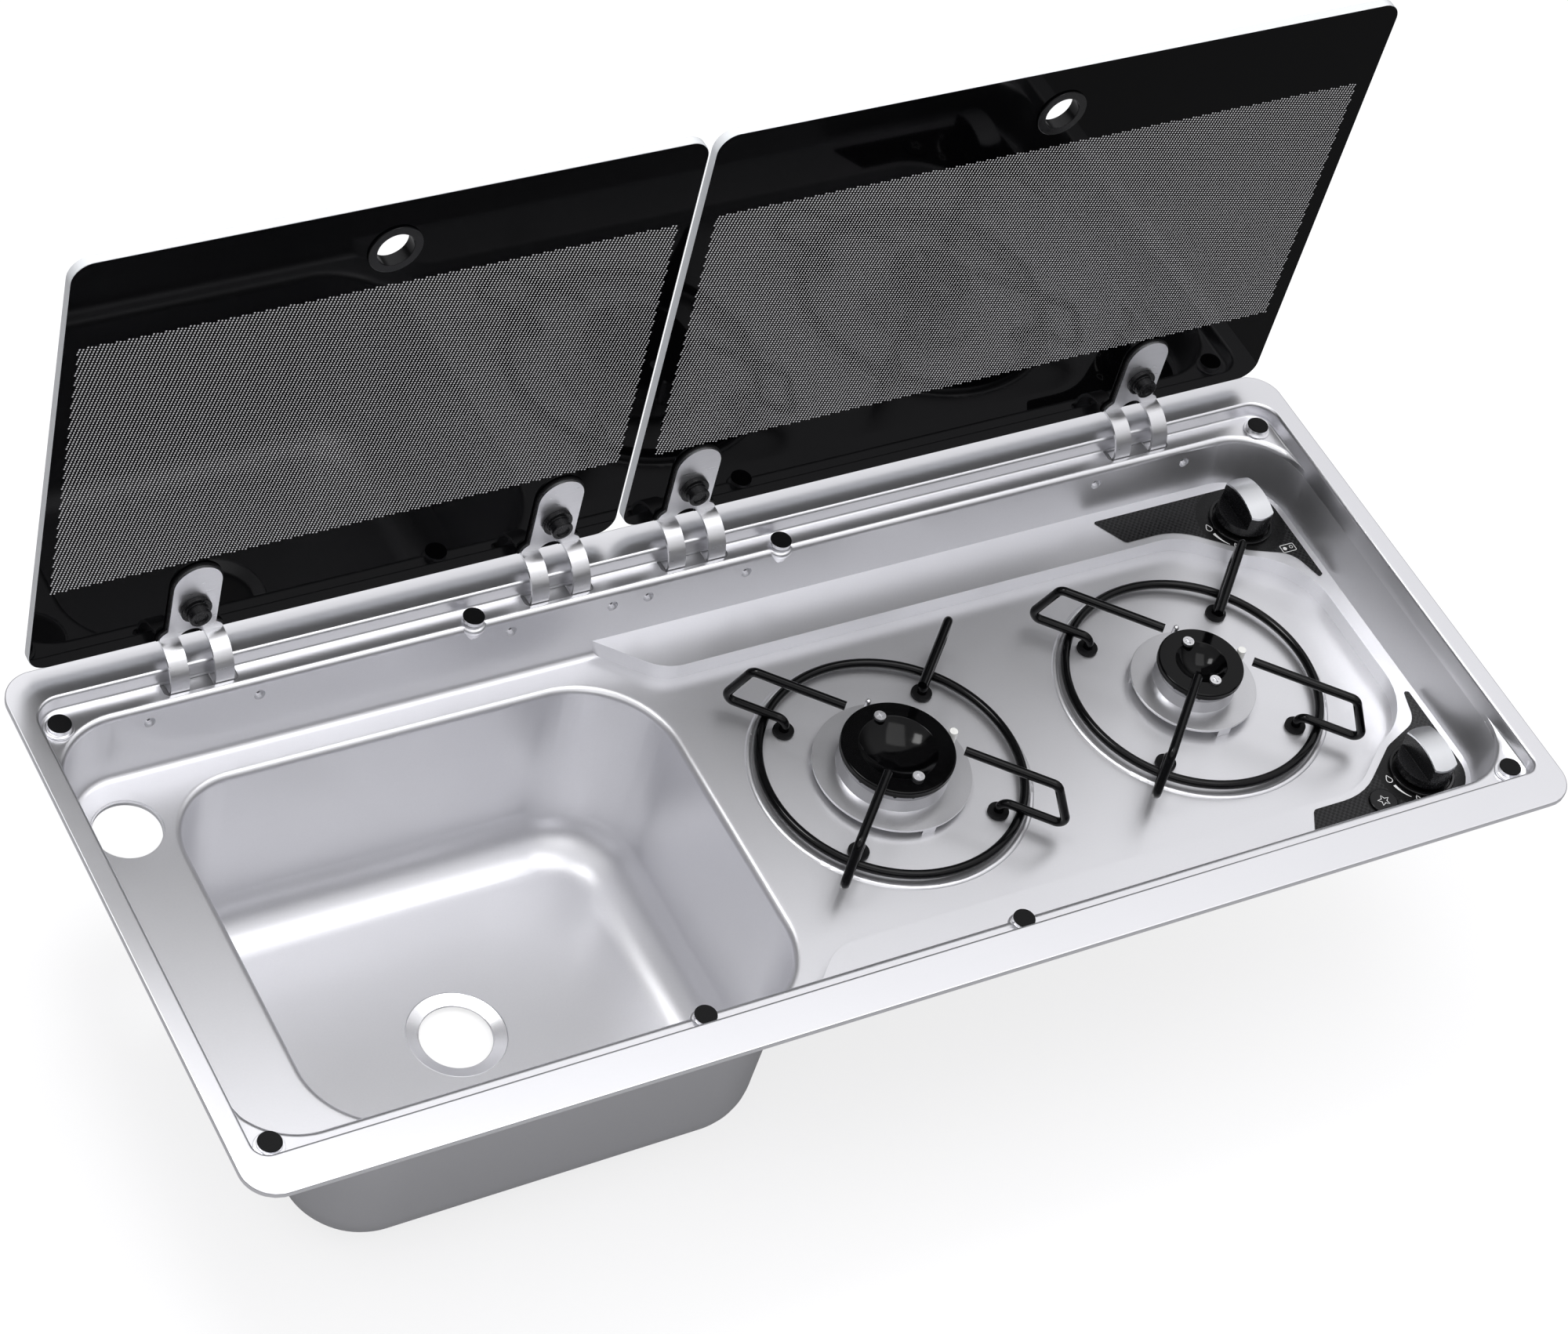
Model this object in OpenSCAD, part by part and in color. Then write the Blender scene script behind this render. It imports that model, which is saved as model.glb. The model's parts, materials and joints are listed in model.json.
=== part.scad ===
// Hob and sink combination with two folding glass lids, in millimetres.
// X runs along the length, Y to the hinge side, Z up from the rim's top face.

/* [Rim] */
// Overall length
length = 760; // [700:1:820]
// Overall depth, front to back
depth = 325; // [300:1:360]
// Radius of the rim's outer corners
rim_corner_r = 18; // [10:1:30]
// Height of the turned-down lip
lip_h = 2.8; // [2:0.1:5]
// Flat width of the rim at the front
rim_front_w = 20.7; // [15:0.1:26]
// Flat width of the rim at the back
rim_back_w = 18.3; // [14:0.1:24]
// Depth of the shelf below the rim
shelf_drop = 8.5; // [6:0.5:12]
// Sheet thickness
sheet = 1; // [0.8:0.1:1.5]

/* [Recess] */
// Depth of the deck below the rim
deck_drop = 50; // [40:1:60]
// Width of the front shelf's back edge from the rim's front
recess_front = 32.5; // [28:0.5:40]
// Distance of the recess's back edge from the rim's back
recess_back = 33.8; // [28:0.1:40]
// Distance of the recess's ends from the rim's ends
recess_side = 12.5; // [11.5:0.1:20]
// Corner radius of the recess at its top
recess_corner_r = 36.7; // [25:0.1:50]
// Draft of the recess wall in degrees
recess_draft = 7.5; // [2:0.5:12]
// Rounding of the rim's inner edge
rim_round = 1.8; // [1.2:0.1:2.5]
// Fillet between the recess wall and deck
recess_fillet = 4.5; // [3:0.5:8]
// Height of the raised ledge above the deck
ledge_h = 10; // [6:0.5:14]
// Slope of the ledge's edge in degrees
ledge_draft = 14; // [5:1:30]
// Rounding of the ledge's edge
ledge_round = 3; // [1.5:0.1:4]

/* [Sink] */
// Distance of the bowl from the rim's left end
bowl_left = 67.1; // [60:0.1:90]
// Right edge of the bowl from the centre
bowl_right = 42.1; // [35:0.1:60]
// Distance of the bowl from the recess's back edge
bowl_back = 20.7; // [17:0.1:40]
// Distance of the bowl from the recess's front edge
bowl_front = 14.4; // [13:0.1:40]
// How far the bowl's wall stands inside its outline on the deck
bowl_in = 1.75; // [1:0.05:3]
// Depth of the bowl below the deck
bowl_depth = 120; // [80:1:130]
// Radius between the bowl's wall and bottom
bowl_fillet = 27.2; // [15:0.1:35]
// Diameter of the pressed seat round the waste hole
waste_seat_d = 54.2; // [46:0.1:70]
// Tap hole diameter
tap_hole_d = 35; // [28:0.5:38]
// Waste hole diameter
waste_hole_d = 39.2; // [30:0.1:60]

/* [Lids] */
// Glass thickness
glass_t = 5; // [4:0.5:6]
// Height of an open lid
lid_h = 275.3; // [240:0.1:280]
// Inner edge of the left lid from the centre
left_lid_in = 42.5; // [38.5:0.1:60]
// Inner edge of the right lid from the centre, on the left side
right_lid_in = 38.3; // [20:0.1:38.5]
// Radius of the lid's corners
lid_corner_r = 11; // [5:1:20]
// Distance of the pivot from the rim's back edge
pivot_back = 10.5; // [10:0.1:14]
// Height of the lid's lower edge above the pivot
lid_over_pivot = 15.2; // [13:0.1:18]
// Thickness of the hinge plate
hinge_t = 1.6; // [1:0.1:2.5]
// Hinge pin diameter
hinge_pin_d = 4; // [3:0.5:5]

/* [Burners] */
// Distance of the left burner from the centre
burner_left_x = 56.5; // [50:0.5:70]
// Distance of the right burner from the rim's right end
burner_right = 133; // [125:0.5:150]
// Cap diameter of the left burner
cap_left_d = 62; // [50:1:70]
// Cap diameter of the right burner
cap_right_d = 48; // [40:1:60]
// Wire diameter of the pan supports
wire_d = 5; // [4:0.5:6]
// Height of the pan supports above the deck
support_h = 38.5; // [34:0.5:44]
// Distance of the pan supports' low bends from the rim's back and front
support_gap = 66.5; // [60:0.5:75]
// Bend radius of the wire
bend_r = 4.4; // [3.5:0.1:8]
// Width of the bead pressed in the deck round each burner
bead_w = 3.7; // [2:0.1:5]

/* [Controls] */
// Knob diameter
knob_d = 31.5; // [25:0.5:36]
// Width of the knob's bar
knob_bar_w = 14.5; // [8:0.5:18]
// Distance of the knobs from the right end
knob_right = 46; // [42:0.5:60]
// Distance of the back knob from the rim's back edge
knob_back = 68.9; // [60:0.1:78]
// Distance of the front knob from the rim's front edge
knob_front = 65.6; // [60:0.1:78]
// Travel of a pushed knob
knob_travel = 3.5; // [2:0.1:3.8]
// Ignition button diameter
button_d = 16; // [10:0.5:20]

/* [Hidden] */
$fn = 96;
eps = 0.01;
run_gap = 0.05;
hx = length / 2;
hy = depth / 2;
zs = -shelf_drop;
zd = -deck_drop;
zl = zd + ledge_h;
function flare(f, a) = f * (1 - sin(a)) / cos(a);
// step inside the rim
step_in = shelf_drop * tan(recess_draft);
ax = hx - recess_side + step_in;
ay0 = -hy + rim_front_w + flare(rim_round, recess_draft);
ay1 = hy - rim_back_w - flare(rim_round, recess_draft);
// recess outline at the shelf
bx = hx - recess_side;
by0 = -hy + recess_front;
by1 = hy - recess_back;
rb = recess_corner_r;
// bowl outline at the deck
wx0 = -hx + bowl_left;
wx1 = -bowl_right;
wy0 = by0 + bowl_front;
wy1 = by1 - bowl_back;
bowl_r = [40, 52, 48, 46];
bowl_draft = 2.14;
waste_x = (wx0 + wx1) / 2 - 0.5;
waste_y = (wy0 + wy1) / 2 + 0.3;
tap_x = -hx + 45.9;
tap_y = hy - 71.8;
tap_plate_w = 3.5;
split_x = -24;
// lids
py = hy - pivot_back;
pz = -8;
lid_y = py + 4;
lid_z0 = pz + lid_over_pivot;
lid_z1 = lid_z0 + lid_h;
left_lid_out = -hx + 13.9;
right_lid_out = hx - 14.5;
arm_ro = 18.5;
arm_ri = arm_ro - hinge_t;
hub_r = 3.7;
arm_drop = 3.5;
hinge_w = 26;
arm_w = 10;
arm_out = 17;
gasket_t = 1.2;
hinges_left = [-hx + 98.9, -left_lid_in - 38.7];
hinges_right = [-right_lid_in + 37.3, hx - 100];
hinges = concat(hinges_left, hinges_right);
ring_left = (left_lid_out - left_lid_in) / 2;
ring_right = (right_lid_out - right_lid_in) / 2;
bolt_z = 30;
boss_x = [-0.348 * hx, 0.129 * hx];
boss_y = [hy - 30, -hy + 28.8];
boss_r = 8.2;
boss_foot_r = 3.4;
boss_h = 13;
slot_hw = 20;
slot_y1 = ay1 - 1.4;
slot_y0 = slot_y1 - 8.2;
// controls
kx = hx - knob_right;
kyb = hy - knob_back;
kyf = -hy + knob_front;
panel_t = 0.5;
zp = zl + panel_t;
knob_z0 = zp + 4;
knob_end = zp + 18.5;
knob_dome = 4.6;
stem_r = 4;
button_x = hx - 79;
button_y = -hy + 54;
// burners
burner_right_x = hx - burner_right;
burner_y = 1.5;
support_r = hy - support_gap;
foot_r = support_r - 36;
ring_r = support_r - 24.6;
bead_r = ring_r + 4.5;

steel = [0.78, 0.79, 0.8];
alu = [0.7, 0.7, 0.72];
black = [0.05, 0.05, 0.055];
rubber = [0.08, 0.08, 0.08];
brass = [0.75, 0.6, 0.3];
glass = [0.04, 0.04, 0.05, 0.9];

// Rounded rectangle from its limits
// Corner radii in the order back left, back right, front right, front left
module rrect(x0, x1, y0, y1, r) {
  difference() {
    translate([x0, y0]) square([x1 - x0, y1 - y0]);
    for (k = [0:3]) {
      sx = (k == 0 || k == 3) ? -1 : 1;
      sy = k < 2 ? 1 : -1;
      cx = (sx < 0 ? x0 + r[k] : x1 - r[k]);
      cy = (sy < 0 ? y0 + r[k] : y1 - r[k]);
      difference() {
        translate([sx < 0 ? x0 - 1 : cx, sy < 0 ? y0 - 1 : cy]) square([r[k] + 1, r[k] + 1]);
        translate([cx, cy]) circle(r[k]);
      }
    }
  }
}

// Solid bounded by a rounded rectangle whose wall follows a profile
// u = 0 at the outline and negative inwards
module cavity(x0, x1, y0, y1, r, w, zb, zt) {
  for (k = [0:3]) {
    sx = (k == 0 || k == 3) ? -1 : 1;
    sy = k < 2 ? 1 : -1;
    cx = (sx < 0 ? x0 + r[k] : x1 - r[k]);
    cy = (sy < 0 ? y0 + r[k] : y1 - r[k]);
    translate([cx, cy, 0]) rotate_extrude() intersection() {
      translate([r[k], 0]) children();
      translate([0, zb - 1]) square([r[k] + 5, zt - zb + 2]);
    }
  }
  translate([x0, y0 + r[3], 0]) rotate([90, 0, 180]) linear_extrude(y1 - r[0] - y0 - r[3]) children();
  translate([x1, y1 - r[1], 0]) rotate([90, 0, 0]) linear_extrude(y1 - r[1] - y0 - r[2]) children();
  translate([x0 + r[0], y1, 0]) rotate([90, 0, 90]) linear_extrude(x1 - r[1] - x0 - r[0]) children();
  translate([x1 - r[2], y0, 0]) rotate([90, 0, 270]) linear_extrude(x1 - r[2] - x0 - r[3]) children();
  translate([x0 + w - 1, y0 + w - 1, zb]) cube([x1 - x0 - 2 * w + 2, y1 - y0 - 2 * w + 2, zt - zb]);
}

// Drafted wall with a filleted foot, w deep inwards from the outline; n > 0 draws the fillet in n chords,
// f > 0 rounds the wall's top into the flat at zv
module wall_profile(w, zb, zt, zv, a, r, n = 0, f = 0) {
  zc = zb + r;
  uc = -(zv - zc) * tan(a) - r / cos(a);
  step = (90 - a) / max(n, 1);
  foot = [for (i = [0:n]) [uc + r * sin(step * i), zc - r * cos(step * i)]];
  tangent = n > 0 ? [] : [[uc + r * cos(a), zc - r * sin(a)]];
  uf = flare(f, a);
  top = f > 0 ? [[uf - f * cos(a), zv - f + f * sin(a)], [uf, zv - f], [uf, zt]] : [[0, zv], [0, zt]];
  difference() {
    polygon(concat([[-w, zb]], foot, tangent, top, [[-w, zt]]));
    if (f > 0) top_circle(uf, zv, f);
  }
  if (n == 0) intersection() {
    translate([uc, zc]) circle(r);
    translate([uc - r / 4, zb - 1]) square([r * 1.4, r + 1.5]);
  }
}

module top_circle(uf, zv, f) {
  intersection() {
    translate([uf, zv - f]) circle(f);
    translate([uf - f - 1, zv - f * 1.25]) square([f * 1.25 + 1, f * 1.25 + 1]);
  }
}

// Outline from corner points [x, y, radius], with each corner drawn as an arc
function unit(v) = v / norm(v);
function arc_at(a, b, c, r) =
  let (u = unit(a - b), v = unit(c - b), h = acos(u * v) / 2, m = b + unit(u + v) * r / sin(h))
  let (p = b + u * r / tan(h) - m, q = b + v * r / tan(h) - m)
  let (a0 = atan2(p[1], p[0]), d = atan2(q[1], q[0]) - a0)
  let (turn = d > 180 ? d - 360 : (d < -180 ? d + 360 : d), n = max(2, ceil(abs(turn) / 8)))
  [for (i = [0:n]) m + r * [cos(a0 + turn * i / n), sin(a0 + turn * i / n)]];
function xy(p) = [p[0], p[1]];
function rounded(p) = let (last = len(p) - 1) concat([xy(p[0])],
  [for (i = [1:last - 1]) for (q = arc_at(xy(p[i - 1]), xy(p[i]), xy(p[i + 1]), p[i][2])) q],
  [xy(p[last])]);
// Tangent points and centre of corner i, and whether the path turns left there
function corner(p, i) = let (a = xy(p[i - 1]), b = xy(p[i]), c = xy(p[i + 1]), r = p[i][2])
  let (u = unit(a - b), v = unit(c - b), h = acos(u * v) / 2)
  [b + u * r / tan(h), b + v * r / tan(h), b + unit(u + v) * r / sin(h),
    u[0] * v[1] - u[1] * v[0] < 0];
function run_from(p, i) = i == 1 ? xy(p[0]) : corner(p, i - 1)[1];
function run_to(p, i) = i == len(p) - 1 ? xy(p[i]) : corner(p, i)[0];
function bend_start(c) = c[3] ? c[0] - c[2] : c[1] - c[2];
function bend_angle(c) = acos(unit(c[0] - c[2]) * unit(c[1] - c[2]));
function mirrored(p, k, d) = [for (i = [len(p) - 1:-1:0]) [p[i][0], p[i][1] * k + d, p[i][2]]];

// Edge of the raised ledge, from its left tip at the back round the right end to its left tip at the front
edge_right = hx - 26;
edge_back_y = by1 - 33.6;
edge_half = [[-86, by1 + 5.3, 0], [-63, by1 - 2, 14], [-31.5, edge_back_y, 25], [hx - 87, edge_back_y, 38],
  [hx - 55.5, edge_back_y - 25.2, 12], [edge_right, edge_back_y - 38.5, 44]];
edge_path = concat(edge_half, mirrored(edge_half, -1, -1.4));
edge = rounded(edge_path);
function shifted(p, d) = [for (i = [0:len(p) - 1])
  let (v = unit(p[min(i + 1, len(p) - 1)] - p[max(i - 1, 0)])) p[i] + d * [-v[1], v[0]]];

// Everything outside the deck's low part
module ledge_area(d) {
  difference() {
    translate([-100, -160]) square([500, 320]);
    polygon(concat([[-110, -155], [-110, 155]], shifted(edge, d)));
  }
}

// Section of the ledge's sloping edge, u = 0 where the slope would meet its top; k = -1 turns it round
// and g moves it inwards
module ledge_profile(t, k, g) {
  s = flare(t, ledge_draft) - g;
  zb = zd - t;
  zv = zl - t;
  f = ledge_round - t;
  r = ledge_round + t;
  zc = zb + r - 0.02;
  uf = s + flare(f, ledge_draft);
  uc = s - (zv - zc) * tan(ledge_draft) - r / cos(ledge_draft);
  c = cos(ledge_draft);
  d = sin(ledge_draft);
  difference() {
    union() {
      polygon([for (q = [[uc, zb - 1], [ledge_run, zb - 1], [ledge_run, zv], [uf, zv], [uf, zv - f],
        [uf - f * c, zv - f + f * d], [uc + r * c, zc - r * d], [uc, zc]]) [k * q[0], q[1]]]);
      translate([k * uf, 0]) intersection() {
        translate([0, zv - f]) circle(f);
        translate([-f - 1, zv - f * 1.25]) square([2 * f + 2, f * 1.25 + 1]);
      }
    }
    translate([k * uc, 0]) intersection() {
      translate([0, zc]) circle(r);
      translate([-r - 1, zb - 0.9]) square([2 * r + 2, r + 1.4]);
    }
  }
}
ledge_run = 8;

// The raised ledge, swept along the corners i0 to i1 of its edge
module ledge_block(t, corners) {
  n = len(edge_path) - 1;
  for (i = corners) {
    c = corner(edge_path, i);
    v = bend_start(c);
    translate([c[2][0], c[2][1], 0]) rotate([0, 0, atan2(v[1], v[0])])
      rotate_extrude(angle = bend_angle(c))
        translate([edge_path[i][2], 0]) ledge_profile(t, c[3] ? -1 : 1, 0.02);
    for (j = [i, i + 1]) {
      a = run_from(edge_path, j);
      b = run_to(edge_path, j);
      v = b - a;
      translate([a[0], a[1], 0]) rotate([90, 0, atan2(v[1], v[0]) + 90]) translate([0, 0, -0.2])
        linear_extrude(norm(v) + 0.4) ledge_profile(t, 1, 0);
    }
  }
  translate([0, 0, zd - t - 1]) linear_extrude(ledge_h + 1) ledge_area(ledge_run - 1.5);
}

// Small cones that carry the middle pads
module bosses(t) {
  for (x = boss_x, y = boss_y) translate([x, y, zs - t - boss_h])
    cylinder(r1 = boss_foot_r - t, r2 = boss_r - t, h = boss_h);
}

// Inside of the recess, grown by t all round
module pan_solid(t, corners) {
  s = flare(t, recess_draft);
  difference() {
    cavity(-bx - s, bx + s, by0 - s, by1 + s, [for (k = [0:3]) rb + s], 20, zd - t, zs - sheet)
      wall_profile(20, zd - t, zs - sheet, zs - sheet, recess_draft, recess_fillet + t);
    if (len(corners) > 0) ledge_block(t, corners);
    else translate([0, 0, zd - t - 1]) linear_extrude(ledge_h + 1) ledge_area(t);
    bosses(t);
  }
}

dimple_z = -18.5;
module dimples(r, y0, y1) {
  for (h = hinges, s = [-29.5, 29.5]) translate([h + s, y1, dimple_z]) rotate([90, 0, 0])
    cylinder(r = r, h = y1 - y0);
}

module pan_sheet(corners) {
  difference() {
    union() {
      pan_solid(sheet, corners);
      dimples(4, by1 - 4, by1 + 1.8);
    }
    pan_solid(0, corners);
    dimples(3, by1 - 8, by1 + 0.8);
    dimples(0.9, by1 - 8, by1 + 3);
  }
}

module bowl_outline(g) rrect(wx0 - g, wx1 + g, wy0 - g, wy1 + g, [for (r = bowl_r) r + g]);

module sink_deck() color(steel) {
  difference() {
    intersection() {
      pan_sheet([]);
      translate([-hx, -hy, -60]) cube([hx + split_x, depth, 60]);
    }
    translate([0, 0, zd - 3]) linear_extrude(6) bowl_outline(-bowl_in);
    translate([tap_x, tap_y, zd - 3]) cylinder(d = tap_hole_d + 2, h = 6);
  }
}

module hob_deck() color(steel) {
  difference() {
    union() {
      intersection() {
        pan_sheet([2:len(edge_path) - 3]);
        translate([split_x, -hy, -60]) cube([hx - split_x, depth, 60]);
      }
      for (x = [burner_left_x, burner_right_x]) translate([x, burner_y, 0]) intersection() {
        translate([0, 0, zd + 0.7 - bead_w / 2]) rotate_extrude() translate([bead_r, 0])
          circle(bead_w / 2 + 0.3);
        translate([0, 0, zd - sheet / 2]) cylinder(r = bead_r + 10, h = 5);
      }
    }
    translate([burner_left_x, burner_y, zd - 3]) cylinder(r = cup_r(cap_left_d) + 6.5, h = 6);
    translate([burner_right_x, burner_y, zd - 3]) cylinder(r = cup_r(cap_right_d) + 6.5, h = 6);
    feet(burner_left_x) translate([0, 0, zd - 3]) cylinder(r = 4, h = 6);
    feet(burner_right_x) translate([0, 0, zd - 3]) cylinder(r = 4, h = 6);
    for (y = [kyb, kyf]) translate([kx, y, zl - 3]) cylinder(r = stem_r + 1, h = 6);
    translate([button_x, button_y, zl - 3]) cylinder(d = button_d + 0.6, h = 6);
  }
}

module rim_frame() color(steel) {
  difference() {
    union() {
      translate([0, 0, -sheet]) linear_extrude(sheet)
        rrect(-hx, hx, -hy, hy, [for (k = [0:3]) rim_corner_r]);
      translate([0, 0, -lip_h]) linear_extrude(lip_h) difference() {
        rrect(-hx, hx, -hy, hy, [for (k = [0:3]) rim_corner_r]);
        rrect(-hx + sheet, hx - sheet, -hy + sheet, hy - sheet, [for (k = [0:3]) rim_corner_r - sheet]);
      }
      cavity(-ax - sheet, ax + sheet, ay0 - sheet, ay1 + sheet, [15, 15, 9, 9], 9, zs - sheet, -sheet / 2)
        wall_profile(9, zs - sheet, -sheet / 2, -sheet / 2, recess_draft, 2.5);
    }
    cavity(-ax, ax, ay0, ay1, [14, 14, 8, 8], 8, zs, 1)
      wall_profile(8, zs, 1, 0, recess_draft, 1.5, f = rim_round);
    translate([0, 0, zs - 3]) linear_extrude(4) difference() {
      rrect(-bx, bx, by0, by1, [for (k = [0:3]) rb]);
      for (x = boss_x, y = boss_y) translate([x, y]) circle(boss_r);
    }
    for (h = hinges) translate([h, 0, zs - 3]) linear_extrude(4)
      rrect(-slot_hw, slot_hw, slot_y0, slot_y1, [0.5, 0.5, 3, 3]);
  }
}

module rim_seal() color(rubber) {
  translate([0, 0, -lip_h]) linear_extrude(lip_h - sheet) difference() {
    rrect(-hx + sheet, hx - sheet, -hy + sheet, hy - sheet, [for (k = [0:3]) rim_corner_r - sheet]);
    rrect(-hx + 5, hx - 5, -hy + 5, hy - 5, [for (k = [0:3]) rim_corner_r - 5]);
  }
}

// Inside of the bowl, grown by t all round
module bowl_cavity(t, zt) {
  g = t - bowl_in;
  cavity(wx0 - g, wx1 + g, wy0 - g, wy1 + g, [for (r = bowl_r) r + g], 36, zd - bowl_depth - t, zt)
    children();
}

module sink_bowl() color(steel) {
  zb = zd - bowl_depth;
  difference() {
    union() {
      bowl_cavity(sheet, zd - sheet)
        wall_profile(36, zb - sheet, zd - sheet, zd - sheet, bowl_draft, bowl_fillet + sheet, 10);
      translate([waste_x, waste_y, zb - 2 - sheet]) cylinder(d = waste_seat_d + 2 * sheet, h = 3);
    }
    bowl_cavity(0, zd) wall_profile(36, zb, zd, zd - sheet, bowl_draft, bowl_fillet, 10);
    translate([waste_x, waste_y, zb - 10]) cylinder(d = waste_seat_d, h = 12);
  }
}

module waste_seat() color(steel) {
  translate([waste_x, waste_y, zd - bowl_depth - 2 - sheet]) difference() {
    cylinder(d = waste_seat_d, h = sheet);
    translate([0, 0, -1]) cylinder(d = waste_hole_d, h = sheet + 2);
  }
}

module tap_plate() color(steel) {
  translate([tap_x, tap_y, zd - sheet - 2]) difference() {
    cylinder(r = tap_hole_d / 2 + tap_plate_w, h = 2);
    translate([0, 0, -1]) cylinder(d = tap_hole_d, h = 4);
    translate([-tap_x, -tap_y, -1]) linear_extrude(4) bowl_outline(2 * sheet);
  }
}

module bumper_pads() color(rubber) {
  pad_h = pz + 4 - zs - run_gap;
  for (x = [-hx + 21.7, hx - 23.4], y = [hy - 32.8, -hy + 31.3]) translate([x, y, zs]) {
    cylinder(r = 7.6, h = 1.4);
    cylinder(r = 6, h = pad_h);
  }
  for (x = boss_x, y = boss_y) translate([x, y, zs]) {
    cylinder(r = 4.6, h = pad_h);
    translate([0, 0, 1.6]) cylinder(r = 5.8, h = pad_h - 1.6);
  }
}

// Lids, drawn open
module glass_pane(x0, x1, bolts, ring_x) color(glass) {
  translate([0, lid_y + glass_t, 0]) rotate([90, 0, 0]) linear_extrude(glass_t) difference() {
    rrect(x0, x1, lid_z0, lid_z1, [for (k = [0:3]) lid_corner_r]);
    for (h = bolts) translate([h, bolt_z]) circle(4.2);
    translate([ring_x, lid_z1 - 30]) circle(11.5);
  }
}
module left_glass() glass_pane(left_lid_out, -left_lid_in, hinges_left, ring_left);
module right_glass() glass_pane(-right_lid_in, right_lid_out, hinges_right, ring_right);

module finger_ring(x) color(black) {
  translate([x, lid_y, lid_z1 - 30]) rotate([-90, 0, 0]) difference() {
    union() {
      translate([0, 0, -1.2]) cylinder(r = 14, h = 1.2);
      cylinder(r = 11.5 - run_gap, h = glass_t);
      translate([0, 0, glass_t]) cylinder(r = 14, h = 1);
    }
    translate([0, 0, -3]) cylinder(r = 9.5, h = glass_t + 6);
  }
}
module left_finger_ring() finger_ring(ring_left);
module right_finger_ring() finger_ring(ring_right);

module tab_shape(g, zlow) {
  w = hinge_w / 2 + g;
  v = arm_out + g;
  difference() {
    union() {
      translate([0, 46]) circle(w);
      polygon([[-v, zlow], [v, zlow], [v, 11.5], [v - 1.2, 13.4], [w, 15.5], [w, 46],
        [-w, 46], [-w, 15.5], [-v + 1.2, 13.4], [-v, 11.5]]);
    }
    translate([0, bolt_z]) circle(4.2);
    translate([0, 7]) circle(6.8 - g);
  }
}

module arc_band(ang) {
  rotate_extrude(angle = ang) translate([arm_ri, 0]) square([hinge_t, arm_w]);
}

// Tab, two curved arms and the hub round the pin
module bracket() {
  difference() {
    union() {
      translate([0, lid_y - gasket_t, 0]) rotate([90, 0, 0]) linear_extrude(hinge_t) difference() {
        tab_shape(-0.2, pz + 17.2);
        translate([-7.2, 0]) square([14.4, 10.4]);
      }
      for (x = [-arm_out, arm_out - arm_w]) {
        translate([x, py, pz]) rotate([90, 0, 90]) rotate([0, 0, 82]) arc_band(109);
        translate([x + 0.2, py - 18, pz - arm_drop]) cube([arm_w - 0.4, 18.4, hinge_t]);
      }
      translate([-19.5, py, pz]) rotate([0, 90, 0]) cylinder(r = hub_r, h = 39);
    }
    translate([-25, py, pz]) rotate([0, 90, 0]) cylinder(r = hinge_pin_d / 2 + run_gap, h = 50);
  }
}
module left_hinge_brackets() color(steel) for (h = hinges_left) translate([h, 0, 0]) bracket();
module right_hinge_brackets() color(steel) for (h = hinges_right) translate([h, 0, 0]) bracket();

module gasket(h) {
  translate([h, lid_y, 0]) rotate([90, 0, 0]) linear_extrude(gasket_t) tab_shape(0.9, pz + 16.4);
}
module left_hinge_gaskets() color(rubber) for (h = hinges_left) gasket(h);
module right_hinge_gaskets() color(rubber) for (h = hinges_right) gasket(h);

module hinge_bolt(h) {
  translate([h, lid_y - gasket_t - hinge_t, bolt_z]) rotate([90, 0, 0]) {
    cylinder(r = 8.2, h = 2.6);
    difference() {
      cylinder(r = 5.8, h = 8);
      translate([0, 0, 7]) cylinder(r = 3.6, h = 2);
    }
  }
  translate([h, lid_y - gasket_t - hinge_t, bolt_z]) rotate([-90, 0, 0])
    cylinder(r = 4.2 - run_gap, h = glass_t + hinge_t + gasket_t);
  translate([h, lid_y + glass_t, bolt_z]) rotate([-90, 0, 0]) cylinder(r = 8, h = 2);
}
module left_hinge_bolts() color(black) for (h = hinges_left) hinge_bolt(h);
module right_hinge_bolts() color(black) for (h = hinges_right) hinge_bolt(h);

// Fixed cheeks under the shelf that carry the hinge pins
module housing(h) {
  zb = pz - arm_ro - 2.1;
  translate([h, 0, 0]) {
    difference() {
      for (x = [-22.2, 20.6]) translate([x, 0, 0]) rotate([90, 0, 90]) linear_extrude(1.6)
        polygon([[by1 + 1.8, zb], [by1 + 1.8, zs - 5], [slot_y0, zs - 3.5], [slot_y0, zs - sheet],
          [py - 5.3, zs - sheet], [py - 5.3, -sheet], [py + 4, -sheet], [py + 4, zb]]);
      translate([-30, py, pz]) rotate([0, 90, 0]) cylinder(d = hinge_pin_d, h = 60);
    }
    translate([-22.2, by1 + 1.8, zb]) cube([44.4, py + 2.2 - by1, 1.6]);
    for (x = [[-20.7, -arm_out - 0.6], [-arm_out + arm_w + 0.6, arm_out - arm_w - 0.6],
        [arm_out + 0.6, 20.7]])
      translate([x[0], slot_y0 - 0.7, zs - sheet - 1.2]) cube([x[1] - x[0], 10.2, 1.2]);
    translate([-1, slot_y0 + 0.5, zb]) cube([2, 7, zs - sheet - zb - 0.6]);
    difference() {
      for (x = [-36, 22.2]) translate([x, by1 + 1.8, dimple_z - 8]) cube([13.8, 1.6, 16]);
      for (x = [-29.5, 29.5]) translate([x, by1 + 5, dimple_z]) rotate([90, 0, 0])
        cylinder(r = 1.4, h = 8);
    }
  }
}
module hinge_housings() color(steel) for (h = hinges) housing(h);
module hinge_pins() color(steel) for (h = hinges) translate([h - 22.2, py, pz]) rotate([0, 90, 0])
  cylinder(d = hinge_pin_d, h = 44.4);

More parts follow.
